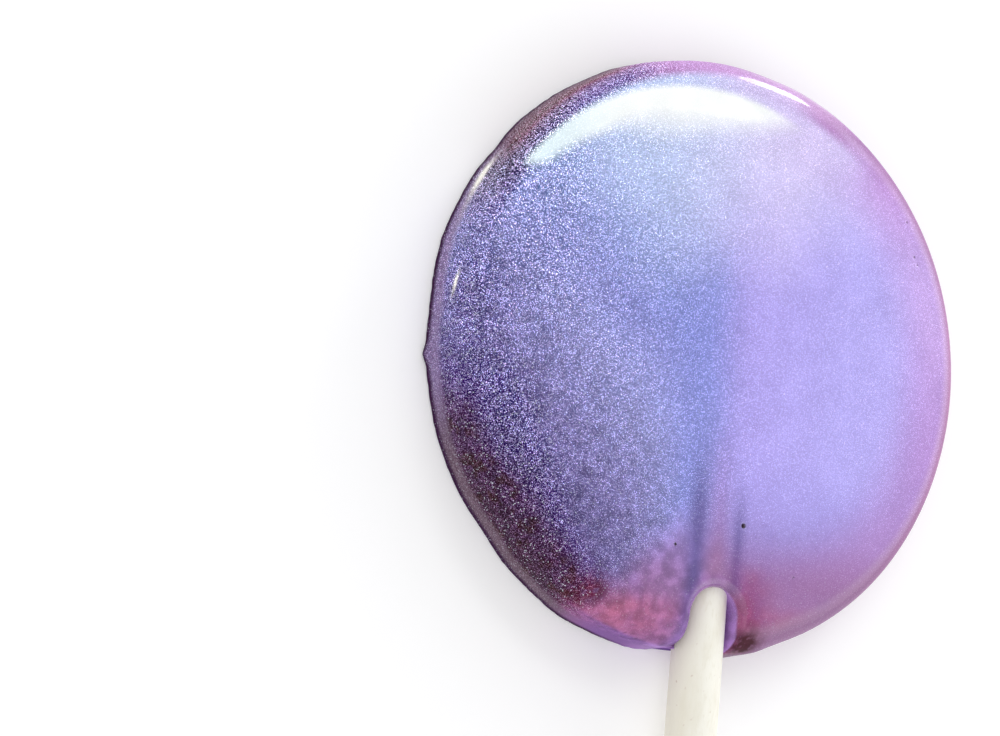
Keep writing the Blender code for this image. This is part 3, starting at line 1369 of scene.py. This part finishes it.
@dataclass(frozen=True)
class Notch:
    """The arched gap in the shown face where the stick comes out between two lobes."""

    axis_x: float
    stick_radius: float
    disc_radius: float = DISC_RADIUS
    gap: float = 0.135 * MM
    arch_y: float = -19.5 * MM
    lip_left: float = 1.3 * MM
    lip_right: float = 0.5 * MM
    lobe_left: float = 1.9 * MM
    lobe_right: float = 0.9 * MM

    @property
    def half_width(self) -> float:
        """Half the gap between the walls."""
        return self.stick_radius + self.gap

    @property
    def arch_centre(self) -> float:
        """Where the arch's circle has its centre, along Y."""
        return self.arch_y - self.half_width

    def flare(self, y: float, left: bool) -> float:
        """How far a wall opens sideways near the rim, rounding its lobe's corner.

        Args:
            y: Place along the stick.
            left: Whether it is the left wall.

        Returns:
            The distance, in metres.
        """
        corner = self.lobe_left if left else self.lobe_right
        into = min(max(corner - self.disc_radius - y, 0.0), corner)
        return corner - math.sqrt(corner * corner - into * into)

    def distance(self, x: float, y: float) -> float:
        """How far a point of the plan is outside the gap; below zero, it is inside.

        Args:
            x: Place across the face.
            y: Place along it.

        Returns:
            The distance, in metres.
        """
        across = x - self.axis_x
        if y > self.arch_centre:
            return math.hypot(across, y - self.arch_centre) - self.half_width
        return abs(across) - self.half_width - self.flare(y, across < 0.0)

    def lip(self, x: float, y: float) -> float:
        """Radius of the rounded lip beside a point of the plan."""
        across = (x - self.axis_x) / self.half_width
        return self.lip_right + (self.lip_left - self.lip_right) * smooth_step(-across, -1.0, 1.0)

    def edge(self, mouth: float, step: float) -> list[Point]:
        """Plan of the gap: up the left wall, over the arch and down the right one.

        Args:
            mouth: Where the line starts and ends, along Y.
            step: Distance between its points.

        Returns:
            The line's points.
        """
        reach = self.half_width
        rows = max(int((self.arch_centre - mouth) / step), 2)
        heights = [mouth + (self.arch_centre - mouth) * i / rows for i in range(rows)]
        left = [(self.axis_x - reach - self.flare(y, True), y) for y in heights]
        right = [(self.axis_x + reach + self.flare(y, False), y) for y in reversed(heights)]
        turns = max(int(math.pi * reach / step), 8)
        arch = []
        for i in range(turns + 1):
            turn = math.pi * (1.0 - i / turns)
            across = self.axis_x + reach * math.cos(turn)
            arch.append((across, self.arch_centre + reach * math.sin(turn)))
        return left + arch + right


@dataclass(frozen=True)
class Plan:
    """The candy's top laid out flat, in triangles.

    Of the points that were asked for, those of the rim come first, and then those of the
    notch's edge. The chain runs along that edge, from one corner of its mouth to the other.
    """

    spots: list[Vector]
    faces: list[list[int]]
    origins: list[list[int]]
    rim_count: int
    edge_count: int
    chain: list[int]

    def on_rim(self, origin: Sequence[int]) -> bool:
        """Whether a point is one of the rim's."""
        return any(i < self.rim_count for i in origin)

    def on_edge(self, origin: Sequence[int]) -> bool:
        """Whether a point is one of the notch's edge."""
        return any(0 <= i - self.rim_count < self.edge_count for i in origin)


@dataclass(frozen=True)
class CandyDisc:
    """The cast candy, one closed mesh that stands for the CAD's disc."""

    thickness: float
    notch: Notch
    radius: float = DISC_RADIUS
    wall_height: float = 3.0 * MM
    wall_draft: float = 0.35 * MM
    shoulder: float = 3.2 * MM
    crown: float = 0.36 * MM
    crown_power: float = 8.0
    back_round: float = 0.2 * MM
    left_at_face: float = 0.55
    columns: int = 1080
    shoulder_rings: int = 22
    wall_rows: int = 12
    face_step: float = 0.36 * MM
    edge_step: float = 0.12 * MM
    edge_clear: float = 0.05 * MM
    rim_clear: float = 0.004 * MM
    least_drop: float = 0.01 * MM
    closest: float = 0.055 * MM
    back_step: float = 2.0 * MM
    back_rows: int = 3
    pit_rings: tuple[float, ...] = (0.0, 0.35, 0.6, 0.75, 0.9, 1.05, 1.25, 1.6)
    pit_points: int = 18
    lip_rows: int = 9
    lip_mask: float = 1.6
    sharp_from: float = math.radians(38.0)
    ripples: tuple[Span, ...] = ((9.0 * MM, 0.035 * MM), (2.6 * MM, 0.006 * MM))
    flash_size: float = 0.7 * MM
    flash_depth: float = 0.05 * MM
    flash_fades: Span = (1.1 * MM, 0.2 * MM)
    spill_angle: float = math.radians(-172.0)
    spill_reach: float = 0.5 * MM
    spill_height: float = 0.55 * MM
    spill_width: float = 0.75 * MM
    spill_depth: float = 0.6 * MM
    spill_power: float = 1.3
    swell_power: int = 4
    ripple_slice: float = 3.7
    pit_reach: float = 2.0
    pit_power: int = 6
    search_rounds: int = 50
    swell_rounds: int = 4
    last_gap: float = 0.3
    same_point: float = 1e-6
    swells: tuple[Swell, ...] = (
        Swell(-77.0, 3.5, 0.32 * MM),
        Swell(-91.0, 4.5, -0.70 * MM),
        Swell(-116.0, 5.0, 0.15 * MM),
        Swell(-138.0, 5.0, -0.20 * MM),
        Swell(-157.0, 8.0, 0.10 * MM),
        Swell(179.0, 5.0, -0.13 * MM),
        Swell(166.0, 5.0, 0.10 * MM),
        Swell(146.0, 4.0, -0.18 * MM),
        Swell(113.0, 5.0, 0.20 * MM),
        Swell(84.0, 6.0, -0.14 * MM),
        Swell(30.0, 14.0, 0.09 * MM),
        Swell(-22.0, 14.0, -0.08 * MM),
    )
    pits: tuple[Pit, ...] = (
        Pit(2.1 * MM, -14.3 * MM, 0.21 * MM, 0.22 * MM),
        Pit(-4.4 * MM, -16.45 * MM, 0.11 * MM, 0.10 * MM),
        Pit(7.5 * MM, -18.0 * MM, 0.1 * MM, 0.06 * MM, 0.6),
        Pit(17.36 * MM, 14.19 * MM, 0.13 * MM, 0.06 * MM, 0.6),
        Pit(18.33 * MM, 11.2 * MM, 0.14 * MM, 0.07 * MM, 0.6),
        Pit(18.72 * MM, 10.55 * MM, 0.11 * MM, 0.06 * MM, 0.6),
        Pit(-7.0 * MM, -23.85 * MM, 0.11 * MM, 0.04 * MM, 0.5),
        Pit(-5.8 * MM, -24.25 * MM, 0.1 * MM, 0.04 * MM, 0.5),
    )

    @property
    def face_radius(self) -> float:
        """Distance from the axis where the shoulder starts."""
        return self.radius - self.wall_draft - self.shoulder

    @property
    def face_rise(self) -> float:
        """How far the face stands above the side wall."""
        return self.thickness - self.wall_height

    def swell(self, angle: float, height: float) -> float:
        """How far the outline stands off its circle in one direction, at one height."""
        keep = 1.0 - (1.0 - self.left_at_face) * height / self.thickness
        return keep * sum(swell.at(angle) for swell in self.swells)

    def turned_height(self, radius: float) -> float:
        """Height of the true turned face at a distance from its axis.

        Args:
            radius: That distance.

        Returns:
            The height, in metres.
        """
        share = min(radius / self.face_radius, 1.0)
        rise = self.face_rise - self.crown * share**self.crown_power
        reach = min(max((radius - self.face_radius) / self.shoulder, 0.0), 1.0)
        return self.wall_height + rise * math.sqrt(1.0 - reach * reach)

    def turned_radius(self, x: float, y: float) -> float:
        """Distance from the axis that a point of the plan has before the outline swells.

        Args:
            x: Place across the face.
            y: Place along it.

        Returns:
            The distance, in metres.
        """
        radius = math.hypot(x, y)
        angle = math.atan2(y, x)
        turned = radius
        for _ in range(self.swell_rounds):
            lift = self.swell(angle, self.turned_height(turned))
            turned = radius - lift * (turned / self.radius) ** self.swell_power
        return turned

    def rim_share(self, x: float, y: float) -> float:
        """How far down the shoulder a point of the plan lies, 0 to 1 as an angle."""
        reach = (self.turned_radius(x, y) - self.face_radius) / self.shoulder
        return math.asin(min(max(reach, 0.0), 1.0)) / (math.pi / 2)

    def pit_share(self, x: float, y: float) -> tuple[float, float]:
        """The deepest pit at a point of the plan.

        Args:
            x: Place across the face.
            y: Place along it.

        Returns:
            The pit's depth there, and its mask from 0 to 1.
        """
        depth, mask = 0.0, 0.0
        for pit in self.pits:
            away = math.hypot(x - pit.x, y - pit.y) / pit.radius
            if away < self.pit_reach:
                bowl = 1.0 / (1.0 + away**self.pit_power)
                depth = max(depth, pit.depth * bowl)
                mask = max(mask, pit.shade * bowl)
        return depth, mask

    def face_height(self, x: float, y: float) -> float:
        """Height of the finished shown face over a point of the plan.

        Args:
            x: Place across the face.
            y: Place along it.

        Returns:
            The height, in metres.
        """
        height = self.turned_height(self.turned_radius(x, y))
        calm = (height - self.wall_height) / self.face_rise
        for size, swing in self.ripples:
            height += calm * swing * noise.noise(Vector((x / size, y / size, self.ripple_slice)))
        lip = self.notch.lip(x, y)
        into = min(max(lip - self.notch.distance(x, y), 0.0), lip)
        height -= lip - math.sqrt(lip * lip - into * into)
        height -= self.pit_share(x, y)[0]
        return max(height, self.wall_height)

    def wall_point(self, angle: float, height: float) -> Point:
        """Plan of the side wall in one direction, at one height.

        Args:
            angle: The direction, in radians.
            height: The height, in metres.

        Returns:
            The point.
        """
        lean = self.radius - self.wall_draft * height / self.wall_height
        low = smooth_step(height, *self.flash_fades)
        spot = Vector((math.cos(angle), math.sin(angle), 0.0)) * (self.radius / self.flash_size)
        flash = self.flash_depth * low * noise.noise(spot)
        off = math.remainder(angle - self.spill_angle, math.tau) * self.radius
        peak = math.exp(-abs(off / self.spill_width) ** self.spill_power)
        level = math.exp(-(((height - self.spill_height) / self.spill_depth) ** 2))
        radius = lean + self.swell(angle, height) + flash + self.spill_reach * peak * level
        return (radius * math.cos(angle), radius * math.sin(angle))

    def _mouth_angle(self, left: bool) -> float:
        """Direction in which a wall of the notch meets the outline.

        Args:
            left: Whether it is the left wall.

        Returns:
            The direction, in radians.
        """
        low, high = -self.radius, self.notch.arch_centre
        for _ in range(self.search_rounds):
            y = (low + high) / 2
            side = -1.0 if left else 1.0
            x = self.notch.axis_x + side * (self.notch.half_width + self.notch.flare(y, left))
            rim = math.hypot(*self.wall_point(math.atan2(y, x), self.wall_height))
            low, high = (low, y) if math.hypot(x, y) < rim else (y, high)
        return math.atan2(y, x)

    def _directions(self) -> list[float]:
        """Directions of the wall's columns, with one at each corner of the notch's mouth.

        Returns:
            The directions, in radians.
        """
        angles = [-math.pi / 2 + math.tau * i / self.columns for i in range(self.columns)]
        for left in (True, False):
            corner = self._mouth_angle(left)
            nearest = min(
                range(self.columns),
                key=lambda i: abs(math.remainder(angles[i] - corner, math.tau)),
            )
            angles[nearest] = corner
        return angles

    def _face_points(self) -> list[Point]:
        """Points spread over the face, closer together on the shoulder and in the pits.

        Returns:
            The points.
        """
        start = self.face_radius
        points: list[Point] = []
        for pit in self.pits:
            for share in self.pit_rings:
                count = max(int(self.pit_points * share), 1)
                for i in range(count):
                    turn = math.tau * i / count
                    away = pit.radius * share
                    points.append((pit.x + away * math.cos(turn), pit.y + away * math.sin(turn)))
        rings = []
        for i in range(1, self.shoulder_rings):
            turn = math.pi / 2 * i / self.shoulder_rings
            rings.append((start + self.shoulder * math.sin(turn), self.columns))
        rounds = int(start / self.face_step)
        for i in range(1, rounds + 1):
            ring = start * i / rounds
            rings.append((ring, max(int(math.tau * ring / self.face_step), 6)))
        points.append((0.0, 0.0))
        for ring, count in rings:
            for i in range(count):
                angle = -math.pi / 2 + math.tau * (i + 0.5 * (count != self.columns)) / count
                lift = self.swell(angle, self.turned_height(ring))
                out = ring + lift * (ring / self.radius) ** self.swell_power
                points.append((out * math.cos(angle), out * math.sin(angle)))
        return points

    def _thinned(self, fixed: list[Point], spread: list[Point]) -> list[Point]:
        """Leave out spread points that would crowd the fixed ones or each other.

        Args:
            fixed: Points that stay.
            spread: Points that may go.

        Returns:
            The spread points that stay.
        """
        cell = self.closest
        taken = {(round(x / cell), round(y / cell)) for x, y in fixed}
        kept = []
        for x, y in spread:
            spot = (round(x / cell), round(y / cell))
            near = {(spot[0] + i, spot[1] + j) for i in (-1, 0, 1) for j in (-1, 0, 1)}
            if taken.isdisjoint(near):
                taken.add(spot)
                kept.append((x, y))
        return kept

    def build(self, finish: PearlCandy) -> bpy.types.Object:
        """Make the candy.

        Args:
            finish: Its finish.

        Returns:
            The finished piece.
        """
        bm = bmesh.new()
        marks = {mark: bm.verts.layers.float.new(mark.value) for mark in Mark}
        angles = self._directions()
        plan = self._plan([self.wall_point(angle, self.wall_height) for angle in angles])
        log.info("candy: %d points and %d triangles in plan", len(plan.spots), len(plan.faces))
        rim = self._add_top(bm, marks, plan)
        self._add_wall(bm, marks, angles, rim)
        bmesh.ops.recalc_face_normals(bm, faces=bm.faces)
        mesh = bpy.data.meshes.new("candy")
        bm.to_mesh(mesh)
        bm.free()
        mesh.shade_smooth()
        mesh.set_sharp_from_angle(angle=self.sharp_from)
        mesh.materials.append(finish.build())
        return linked("candy", mesh)

    def _plan(self, rim: list[Point]) -> Plan:
        """Lay the top out flat: the rim, the notch's edge and the points between them.

        Args:
            rim: Top of the side wall, one point for each of its columns.

        Returns:
            The plan.
        """
        corners = [
            self.wall_point(self._mouth_angle(left), self.wall_height) for left in (True, False)
        ]
        edge = self._notch_edge(corners[0][1], corners[1][1])
        spread = self._lip_points() + self._face_points()
        keep = [p for p in spread if self.notch.distance(*p) > self.edge_clear and self._within(p)]
        points = rim + edge + self._thinned(rim + edge, keep)
        first, last = (
            min(range(len(rim)), key=lambda i: math.dist(rim[i], corner)) for corner in corners
        )
        chain = [first, *range(len(rim), len(rim) + len(edge)), last]
        lines = closed_line(len(rim)) + list(zip(chain, chain[1:]))
        flat = [Vector((x / MM, y / MM)) for x, y in points]
        laid = delaunay_2d_cdt(flat, lines, [], 1, self.same_point, True)
        spots, _, faces, origins, _, _ = laid
        return Plan(spots, faces, origins, len(rim), len(edge), chain)

    def _notch_edge(self, left: float, right: float) -> list[Point]:
        """The notch's edge, between the corners of its mouth.

        Args:
            left: The left corner's place along Y.
            right: The right corner's.

        Returns:
            The edge's points, without the corners.
        """
        edge = self.notch.edge(left, self.edge_step)
        half = len(edge) // 2
        edge = [p for i, p in enumerate(edge) if i < half or p[1] > right][1:]
        if edge[-1][1] <= right + self.last_gap * self.edge_step:
            edge.pop()
        return edge

    def _add_top(
        self, bm: bmesh.types.BMesh, marks: dict[Mark, Any], plan: Plan
    ) -> list[bmesh.types.BMVert]:
        """Raise the plan to the shown face, and sink the notch into it.

        Args:
            bm: The candy so far.
            marks: Its mask layers.
            plan: The plan of its top.

        Returns:
            The rim's points, in order.
        """
        upper, lower = [], []
        for spot, origin in zip(plan.spots, plan.origins):
            x, y = spot.x * MM, spot.y * MM
            height = self.wall_height if plan.on_rim(origin) else self.face_height(x, y)
            vert = bm.verts.new((x, y, height))
            reach = self.notch.lip(x, y) * self.lip_mask
            vert[marks[Mark.RIM]] = self.rim_share(x, y)
            vert[marks[Mark.LIP]] = 1.0 - min(max(self.notch.distance(x, y) / reach, 0.0), 1.0)
            vert[marks[Mark.PIT]] = self.pit_share(x, y)[1]
            floor = vert
            if plan.on_edge(origin) and height > self.wall_height + self.least_drop:
                floor = bm.verts.new((x, y, self.wall_height))
                floor[marks[Mark.LIP]] = 1.0
            upper.append(vert)
            lower.append(floor)
        for face in plan.faces:
            x, y = (sum(plan.spots[i][axis] for i in face) / 3 * MM for axis in (0, 1))
            layer = lower if self.notch.distance(x, y) < 0.0 else upper
            bm.faces.new([layer[i] for i in face])
        found = {i: k for k, origin in enumerate(plan.origins) for i in origin}
        line = [found[i] for i in plan.chain]
        for a, b in zip(line, line[1:]):
            ring = list(dict.fromkeys((upper[a], upper[b], lower[b], lower[a])))
            if len(ring) > 2:
                bm.faces.new(ring)
        return [upper[found[i]] for i in range(plan.rim_count)]

    def _within(self, point: Point) -> bool:
        """Whether a point of the plan lies well inside the outline.

        Args:
            point: The point.

        Returns:
            True where it does.
        """
        angle = math.atan2(point[1], point[0])
        rim = math.hypot(*self.wall_point(angle, self.wall_height))
        return math.hypot(*point) < rim - self.rim_clear

    def _lip_points(self) -> list[Point]:
        """Rows of points over the notch's rounded lip.

        Returns:
            The points.
        """
        points = []
        for row in range(1, self.lip_rows + 1):
            turn = math.pi / 2 * row / self.lip_rows
            for x, y in self.notch.edge(-self.radius, self.edge_step):
                out = self.notch.lip(x, y) * (1.0 - math.cos(turn))
                along = max(y - self.notch.arch_centre, 0.0) / self.notch.half_width
                side = math.copysign(math.sqrt(1.0 - min(along, 1.0) ** 2), x - self.notch.axis_x)
                points.append((x + out * side, y + out * along))
        return points

    def _add_wall(
        self,
        bm: bmesh.types.BMesh,
        marks: dict[Mark, Any],
        angles: Sequence[float],
        top: list[bmesh.types.BMVert],
    ) -> None:
        """Add the side wall below the shoulder, the rounded back edge and the back.

        Args:
            bm: The candy so far.
            marks: Its mask layers.
            angles: Directions of the wall's columns.
            top: The shoulder's lowest ring, in the same order.
        """
        levels = []
        drop = self.wall_height - self.back_round
        for row in range(1, self.wall_rows + 1):
            levels.append((self.wall_height - drop * row / self.wall_rows, 0.0))
        for row in range(1, self.back_rows + 1):
            turn = math.pi / 2 * row / self.back_rows
            height = self.back_round * (1.0 - math.sin(turn))
            levels.append((height, self.back_round * (1.0 - math.cos(turn))))
        above = top
        for height, inset in levels:
            ring = []
            for angle in angles:
                x, y = self.wall_point(angle, height)
                shrink = 1.0 - inset / math.hypot(x, y)
                vert = bm.verts.new((x * shrink, y * shrink, height))
                vert[marks[Mark.RIM]] = 1.0
                vert[marks[Mark.WALL]] = 1.0 - height / self.wall_height
                ring.append(vert)
            for i, j in closed_line(len(ring)):
                bm.faces.new((above[i], above[j], ring[j], ring[i]))
            above = ring
        self._add_back(bm, above)

    def _add_back(self, bm: bmesh.types.BMesh, ring: list[bmesh.types.BMVert]) -> None:
        """Close the flat back inside its outer ring.

        Args:
            bm: The candy so far.
            ring: The outer ring, in order.
        """
        outline = [Vector((vert.co.x, vert.co.y)) / MM for vert in ring]
        inner = []
        for i in range(int(self.radius / self.back_step)):
            count = max(int(math.tau * i), 1)
            for k in range(count):
                turn = math.tau * (k + 0.5) / count
                inner.append(Vector((math.cos(turn), math.sin(turn))) * (i * self.back_step / MM))
        lines = closed_line(len(outline))
        laid = delaunay_2d_cdt(outline + inner, lines, [], 1, self.same_point, True)
        spots, _, faces, origins, _, _ = laid
        verts = []
        for spot, origin in zip(spots, origins):
            known = [i for i in origin if i < len(ring)]
            if known:
                verts.append(ring[known[0]])
            else:
                verts.append(bm.verts.new((spot.x * MM, spot.y * MM, 0.0)))
        for face in faces:
            bm.faces.new([verts[i] for i in face])


# ---------------------------------------------------------------------------
# Stick
# ---------------------------------------------------------------------------


@dataclass(frozen=True)
class PaperStick:
    """A stick of rolled paper: one grid that Geometry Nodes roll up, ends and all."""

    low: Vector
    high: Vector
    turns: float = 11.0
    lap: float = 0.05 * MM
    groove: float = 0.09 * MM
    end_round: float = 0.28 * MM
    fibre: float = 0.012 * MM
    sides: int = 120
    rows: int = 300
    end_share: float = 0.3
    end_power: float = 14.0
    seam: Span = (1.0, 0.985)
    groove_sides: Span = (0.36, 0.5)
    groove_ends: Span = (1.0, 0.94)
    dip_ends: Span = (1.02, 1.0)
    sewn_within: float = 1e-7
    hair_size: float = 14.0
    hair_scale: float = 9.0
    sharp_from: float = math.radians(50.0)

    @property
    def radius(self) -> float:
        """Radius of the stick, from the frame."""
        return (self.high.x - self.low.x) / 2

    def build(self, finish: RolledPaper) -> bpy.types.Object:
        """Make the stick.

        Args:
            finish: Its finish.

        Returns:
            The finished piece.
        """
        paper = finish.build()
        tree, sizes = self._rolling_tree(paper)
        seed = linked("stick_seed", bpy.data.meshes.new("stick_seed"))
        modifier = seed.modifiers.new("roll", "NODES")
        modifier.node_group = tree
        for identifier, value in sizes.items():
            modifier[identifier] = value
        graph = bpy.context.evaluated_depsgraph_get()
        mesh = bpy.data.meshes.new_from_object(seed.evaluated_get(graph))
        bpy.data.objects.remove(seed)
        bm = bmesh.new()
        bm.from_mesh(mesh)
        bmesh.ops.recalc_face_normals(bm, faces=bm.faces)
        bm.to_mesh(mesh)
        bm.free()
        mesh.name = "stick"
        mesh.shade_smooth()
        mesh.set_sharp_from_angle(angle=self.sharp_from)
        return linked("stick", mesh)

    def _rolling_tree(
        self, paper: bpy.types.Material
    ) -> tuple[bpy.types.GeometryNodeTree, dict[str, float]]:
        """The tree that rolls a flat grid into the stick.

        Args:
            paper: The material that it sets.

        Returns:
            The tree, and the value of each of its inputs by the socket's identifier.
        """
        tree = bpy.data.node_groups.new("roll_up", "GeometryNodeTree")
        tree.interface.new_socket("Geometry", in_out="OUTPUT", socket_type="NodeSocketGeometry")
        sizes = {}
        values = {
            "Radius": self.radius,
            "Top": self.high.y,
            "Length": self.high.y - self.low.y,
            "Turns": self.turns,
            "Lap": self.lap,
            "Groove": self.groove,
            "End Round": self.end_round,
            "Fibre": self.fibre,
            "Axis X": (self.low.x + self.high.x) / 2,
            "Axis Z": (self.low.z + self.high.z) / 2,
        }
        for name, value in values.items():
            socket = tree.interface.new_socket(name, in_out="INPUT", socket_type="NodeSocketFloat")
            sizes[socket.identifier] = value
        bench = Bench(tree)
        entry = bench.add("NodeGroupInput").socket.node
        size = {name: Wire(bench, entry.outputs[name]) for name in values}
        counts = {"Vertices X": self.rows, "Vertices Y": self.sides + 1}
        grid = bench.add("GeometryNodeMeshGrid", None, {"Size X": 1.0, "Size Y": 1.0, **counts})
        place = self._rolled_place(bench, size)
        rolled = bench.add("GeometryNodeSetPosition", None, {"Geometry": grid, "Position": place})
        seam = {"Geometry": rolled, "Distance": self.sewn_within}
        sewn = bench.add("GeometryNodeMergeByDistance", None, seam)
        real = bench.add("GeometryNodeRealizeInstances", None, {"Geometry": sewn})
        dressed = bench.add("GeometryNodeSetMaterial", None, {"Geometry": real, "Material": paper})
        bench.add("NodeGroupOutput", None, {0: dressed})
        return tree, sizes

    def _rolled_place(self, bench: Bench, size: dict[str, Wire]) -> Wire:
        """Where each point of the flat grid goes on the stick.

        The grid's middle becomes the side of the stick, and a share of it at each end winds
        in to the axis, with a groove between one turn of the paper and the next.

        Args:
            bench: Where the nodes go.
            size: The tree's inputs, by name.

        Returns:
            The place.
        """
        x, y, _ = bench.parts(bench.add("GeometryNodeInputPosition"))
        down, around = x + 0.5, y + 0.5
        inward = down.least(1.0 - down) * (1.0 / self.end_share)
        out = inward.least(1.0)
        run = ((down - self.end_share) / (1.0 - 2.0 * self.end_share)).most(0.0).least(1.0)
        step = around * around.rise(*self.seam)
        radius = size["Radius"] * out - size["Lap"] * (1.0 - step) * out
        winding = bench.maths("FRACT", out * size["Turns"] - around)
        sunk = (winding - 0.5).size().rise(*self.groove_sides) * out.rise(*self.groove_ends)
        dip = size["Groove"] * sunk + size["End Round"] * (out**self.end_power)
        sign = bench.maths("SIGN", down - 0.5)
        along = size["Top"] - size["Length"] * run + sign * dip * inward.rise(*self.dip_ends)
        turn = around * math.tau
        across, up = bench.maths("COSINE", turn), bench.maths("SINE", turn)
        spot = bench.joined(across, down * self.hair_size, 0.0)
        hair = bench.cloud(spot, 1.0 / self.hair_scale, 2.0)
        radius = radius - size["Fibre"] * hair * out
        return bench.joined(size["Axis X"] + radius * across, along, size["Axis Z"] + radius * up)


# ---------------------------------------------------------------------------
# Studio
# ---------------------------------------------------------------------------


@dataclass(frozen=True)
class Panel:
    """A soft oval light that faces the lollipop."""

    name: str
    azimuth: float
    elevation: float
    roll: float
    half_length: float
    half_width: float
    radiance: float
    distance: float = 0.6

    def add(self, centre: Vector) -> None:
        """Hang the light.

        Args:
            centre: The point that it faces.
        """
        length, width = (
            2.0 * self.distance * math.tan(math.radians(half))
            for half in (self.half_length, self.half_width)
        )
        light = bpy.data.lights.new(self.name, "AREA")
        light.shape = "ELLIPSE"
        light.size = length
        light.size_y = width
        light.energy = self.radiance * math.pi**2 / 4 * length * width
        around, up = math.radians(self.azimuth), math.radians(self.elevation)
        back = Vector((math.cos(up) * math.cos(around), math.cos(up) * math.sin(around), math.sin(up)))
        level = Vector((-math.sin(around), math.cos(around), 0.0))
        along = Matrix.Rotation(math.radians(self.roll), 3, back) @ level
        turn = Matrix((along, back.cross(along), back)).transposed()
        panel = linked(self.name, light)
        panel.matrix_world = Matrix.Translation(centre + back * self.distance) @ turn.to_4x4()


@dataclass(frozen=True)
class Studio:
    """The table, the soft white surroundings, the panels and the camera."""

    centre: Vector
    table_size: float = 3.0
    table_drop: float = 0.02 * MM
    white: float = 1.58
    sideways: float = 0.4
    dim: float = 0.2
    dim_direction: tuple[float, float, float] = (0.5, 0.12, 0.86)
    dim_full: float = 0.965
    dim_none: float = 0.7
    eye: tuple[float, float, float] = (-86.6 * MM, -24.95 * MM, 133.24 * MM)
    looks_along: tuple[float, float, float] = (0.45119, 0.14111, -0.8812)
    picture_up: tuple[float, float, float] = (-0.14595, 0.98579, 0.08314)
    picture_angle: float = math.radians(30.02)
    sensor_width: float = 36.0
    nearest: float = 10.0 * MM
    panels: tuple[Panel, ...] = (
        Panel("window", 74.7, 47.1, -14.0, 26.0, 5.7, 2.0),
        Panel("right_side", 54.0, 9.0, 0.0, 6.5, 9.0, 9.0),
    )

    def build(self) -> None:
        """Set up everything round the lollipop."""
        self._table()
        self._surroundings()
        for panel in self.panels:
            panel.add(self.centre)
        self._camera()
        view = bpy.context.scene.view_settings
        view.view_transform = "Standard"
        view.look = "None"

    def _table(self) -> None:
        """The plain pale floor."""
        bm = bmesh.new()
        bmesh.ops.create_grid(bm, x_segments=1, y_segments=1, size=self.table_size / 2)
        mesh = bpy.data.meshes.new("table")
        bm.to_mesh(mesh)
        bm.free()
        mesh.transform(Matrix.Translation((0.0, 0.0, -self.table_drop)))
        mesh.materials.append(PaleTable().build())
        table = linked("table", mesh)

    def _surroundings(self) -> None:
        """White all round, dimmer on the side that the flat face mirrors to the camera."""
        world = bpy.data.worlds.new("surroundings")
        world.use_nodes = True
        world.node_tree.nodes.clear()
        bench = Bench(world.node_tree)
        way = bench.add("ShaderNodeTexCoord", None, None, "Generated")
        toward = tuple(Vector(self.dim_direction).normalized())
        near = bench.add(
            "ShaderNodeVectorMath", {"operation": "DOT_PRODUCT"}, {0: way, 1: toward}, "Value"
        )
        across, _, _ = bench.parts(way)
        white = self.white * (1.0 + self.sideways * across)
        strength = white + (self.dim - white) * near.rise(self.dim_none, self.dim_full)
        sky = bench.add("ShaderNodeBackground", None, {"Strength": strength})
        bench.add("ShaderNodeOutputWorld", None, {"Surface": sky})
        bpy.context.scene.world = world

    def _camera(self) -> None:
        """The camera, above and to the left of the lollipop."""
        lens = bpy.data.cameras.new("camera")
        lens.sensor_width = self.sensor_width
        lens.angle = self.picture_angle
        lens.clip_start = self.nearest
        back = -Vector(self.looks_along).normalized()
        up = Vector(self.picture_up)
        across = up.cross(back).normalized()
        turn = Matrix((across, back.cross(across), back)).transposed()
        camera = linked("camera", lens)
        camera.matrix_world = Matrix.Translation(self.eye) @ turn.to_4x4()
        bpy.context.scene.camera = camera


def hand_over(piece: bpy.types.Object, node: CadNode) -> None:
    """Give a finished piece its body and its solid.

    Args:
        piece: The piece.
        node: The solid that it stands for.
    """
    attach(piece, BODY)
    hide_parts(node.value)
    log.info("%s: %d faces, for %s", piece.name, len(piece.data.polygons), node.value)


def main() -> None:
    """Build the lollipop and its studio."""
    logging.basicConfig(level=logging.INFO, format="%(message)s")
    candy_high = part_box(CadNode.CANDY.value)[1]
    stick_low, stick_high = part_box(CadNode.STICK.value)
    stick = PaperStick(stick_low, stick_high)
    axis_x = (stick_low.x + stick_high.x) / 2
    disc = CandyDisc(candy_high.z, Notch(axis_x, stick.radius))
    hand_over(disc.build(PearlCandy()), CadNode.CANDY)
    hand_over(stick.build(RolledPaper()), CadNode.STICK)
    Studio(Vector((0.0, 0.0, candy_high.z))).build()


if __name__ == "__main__":
    main()
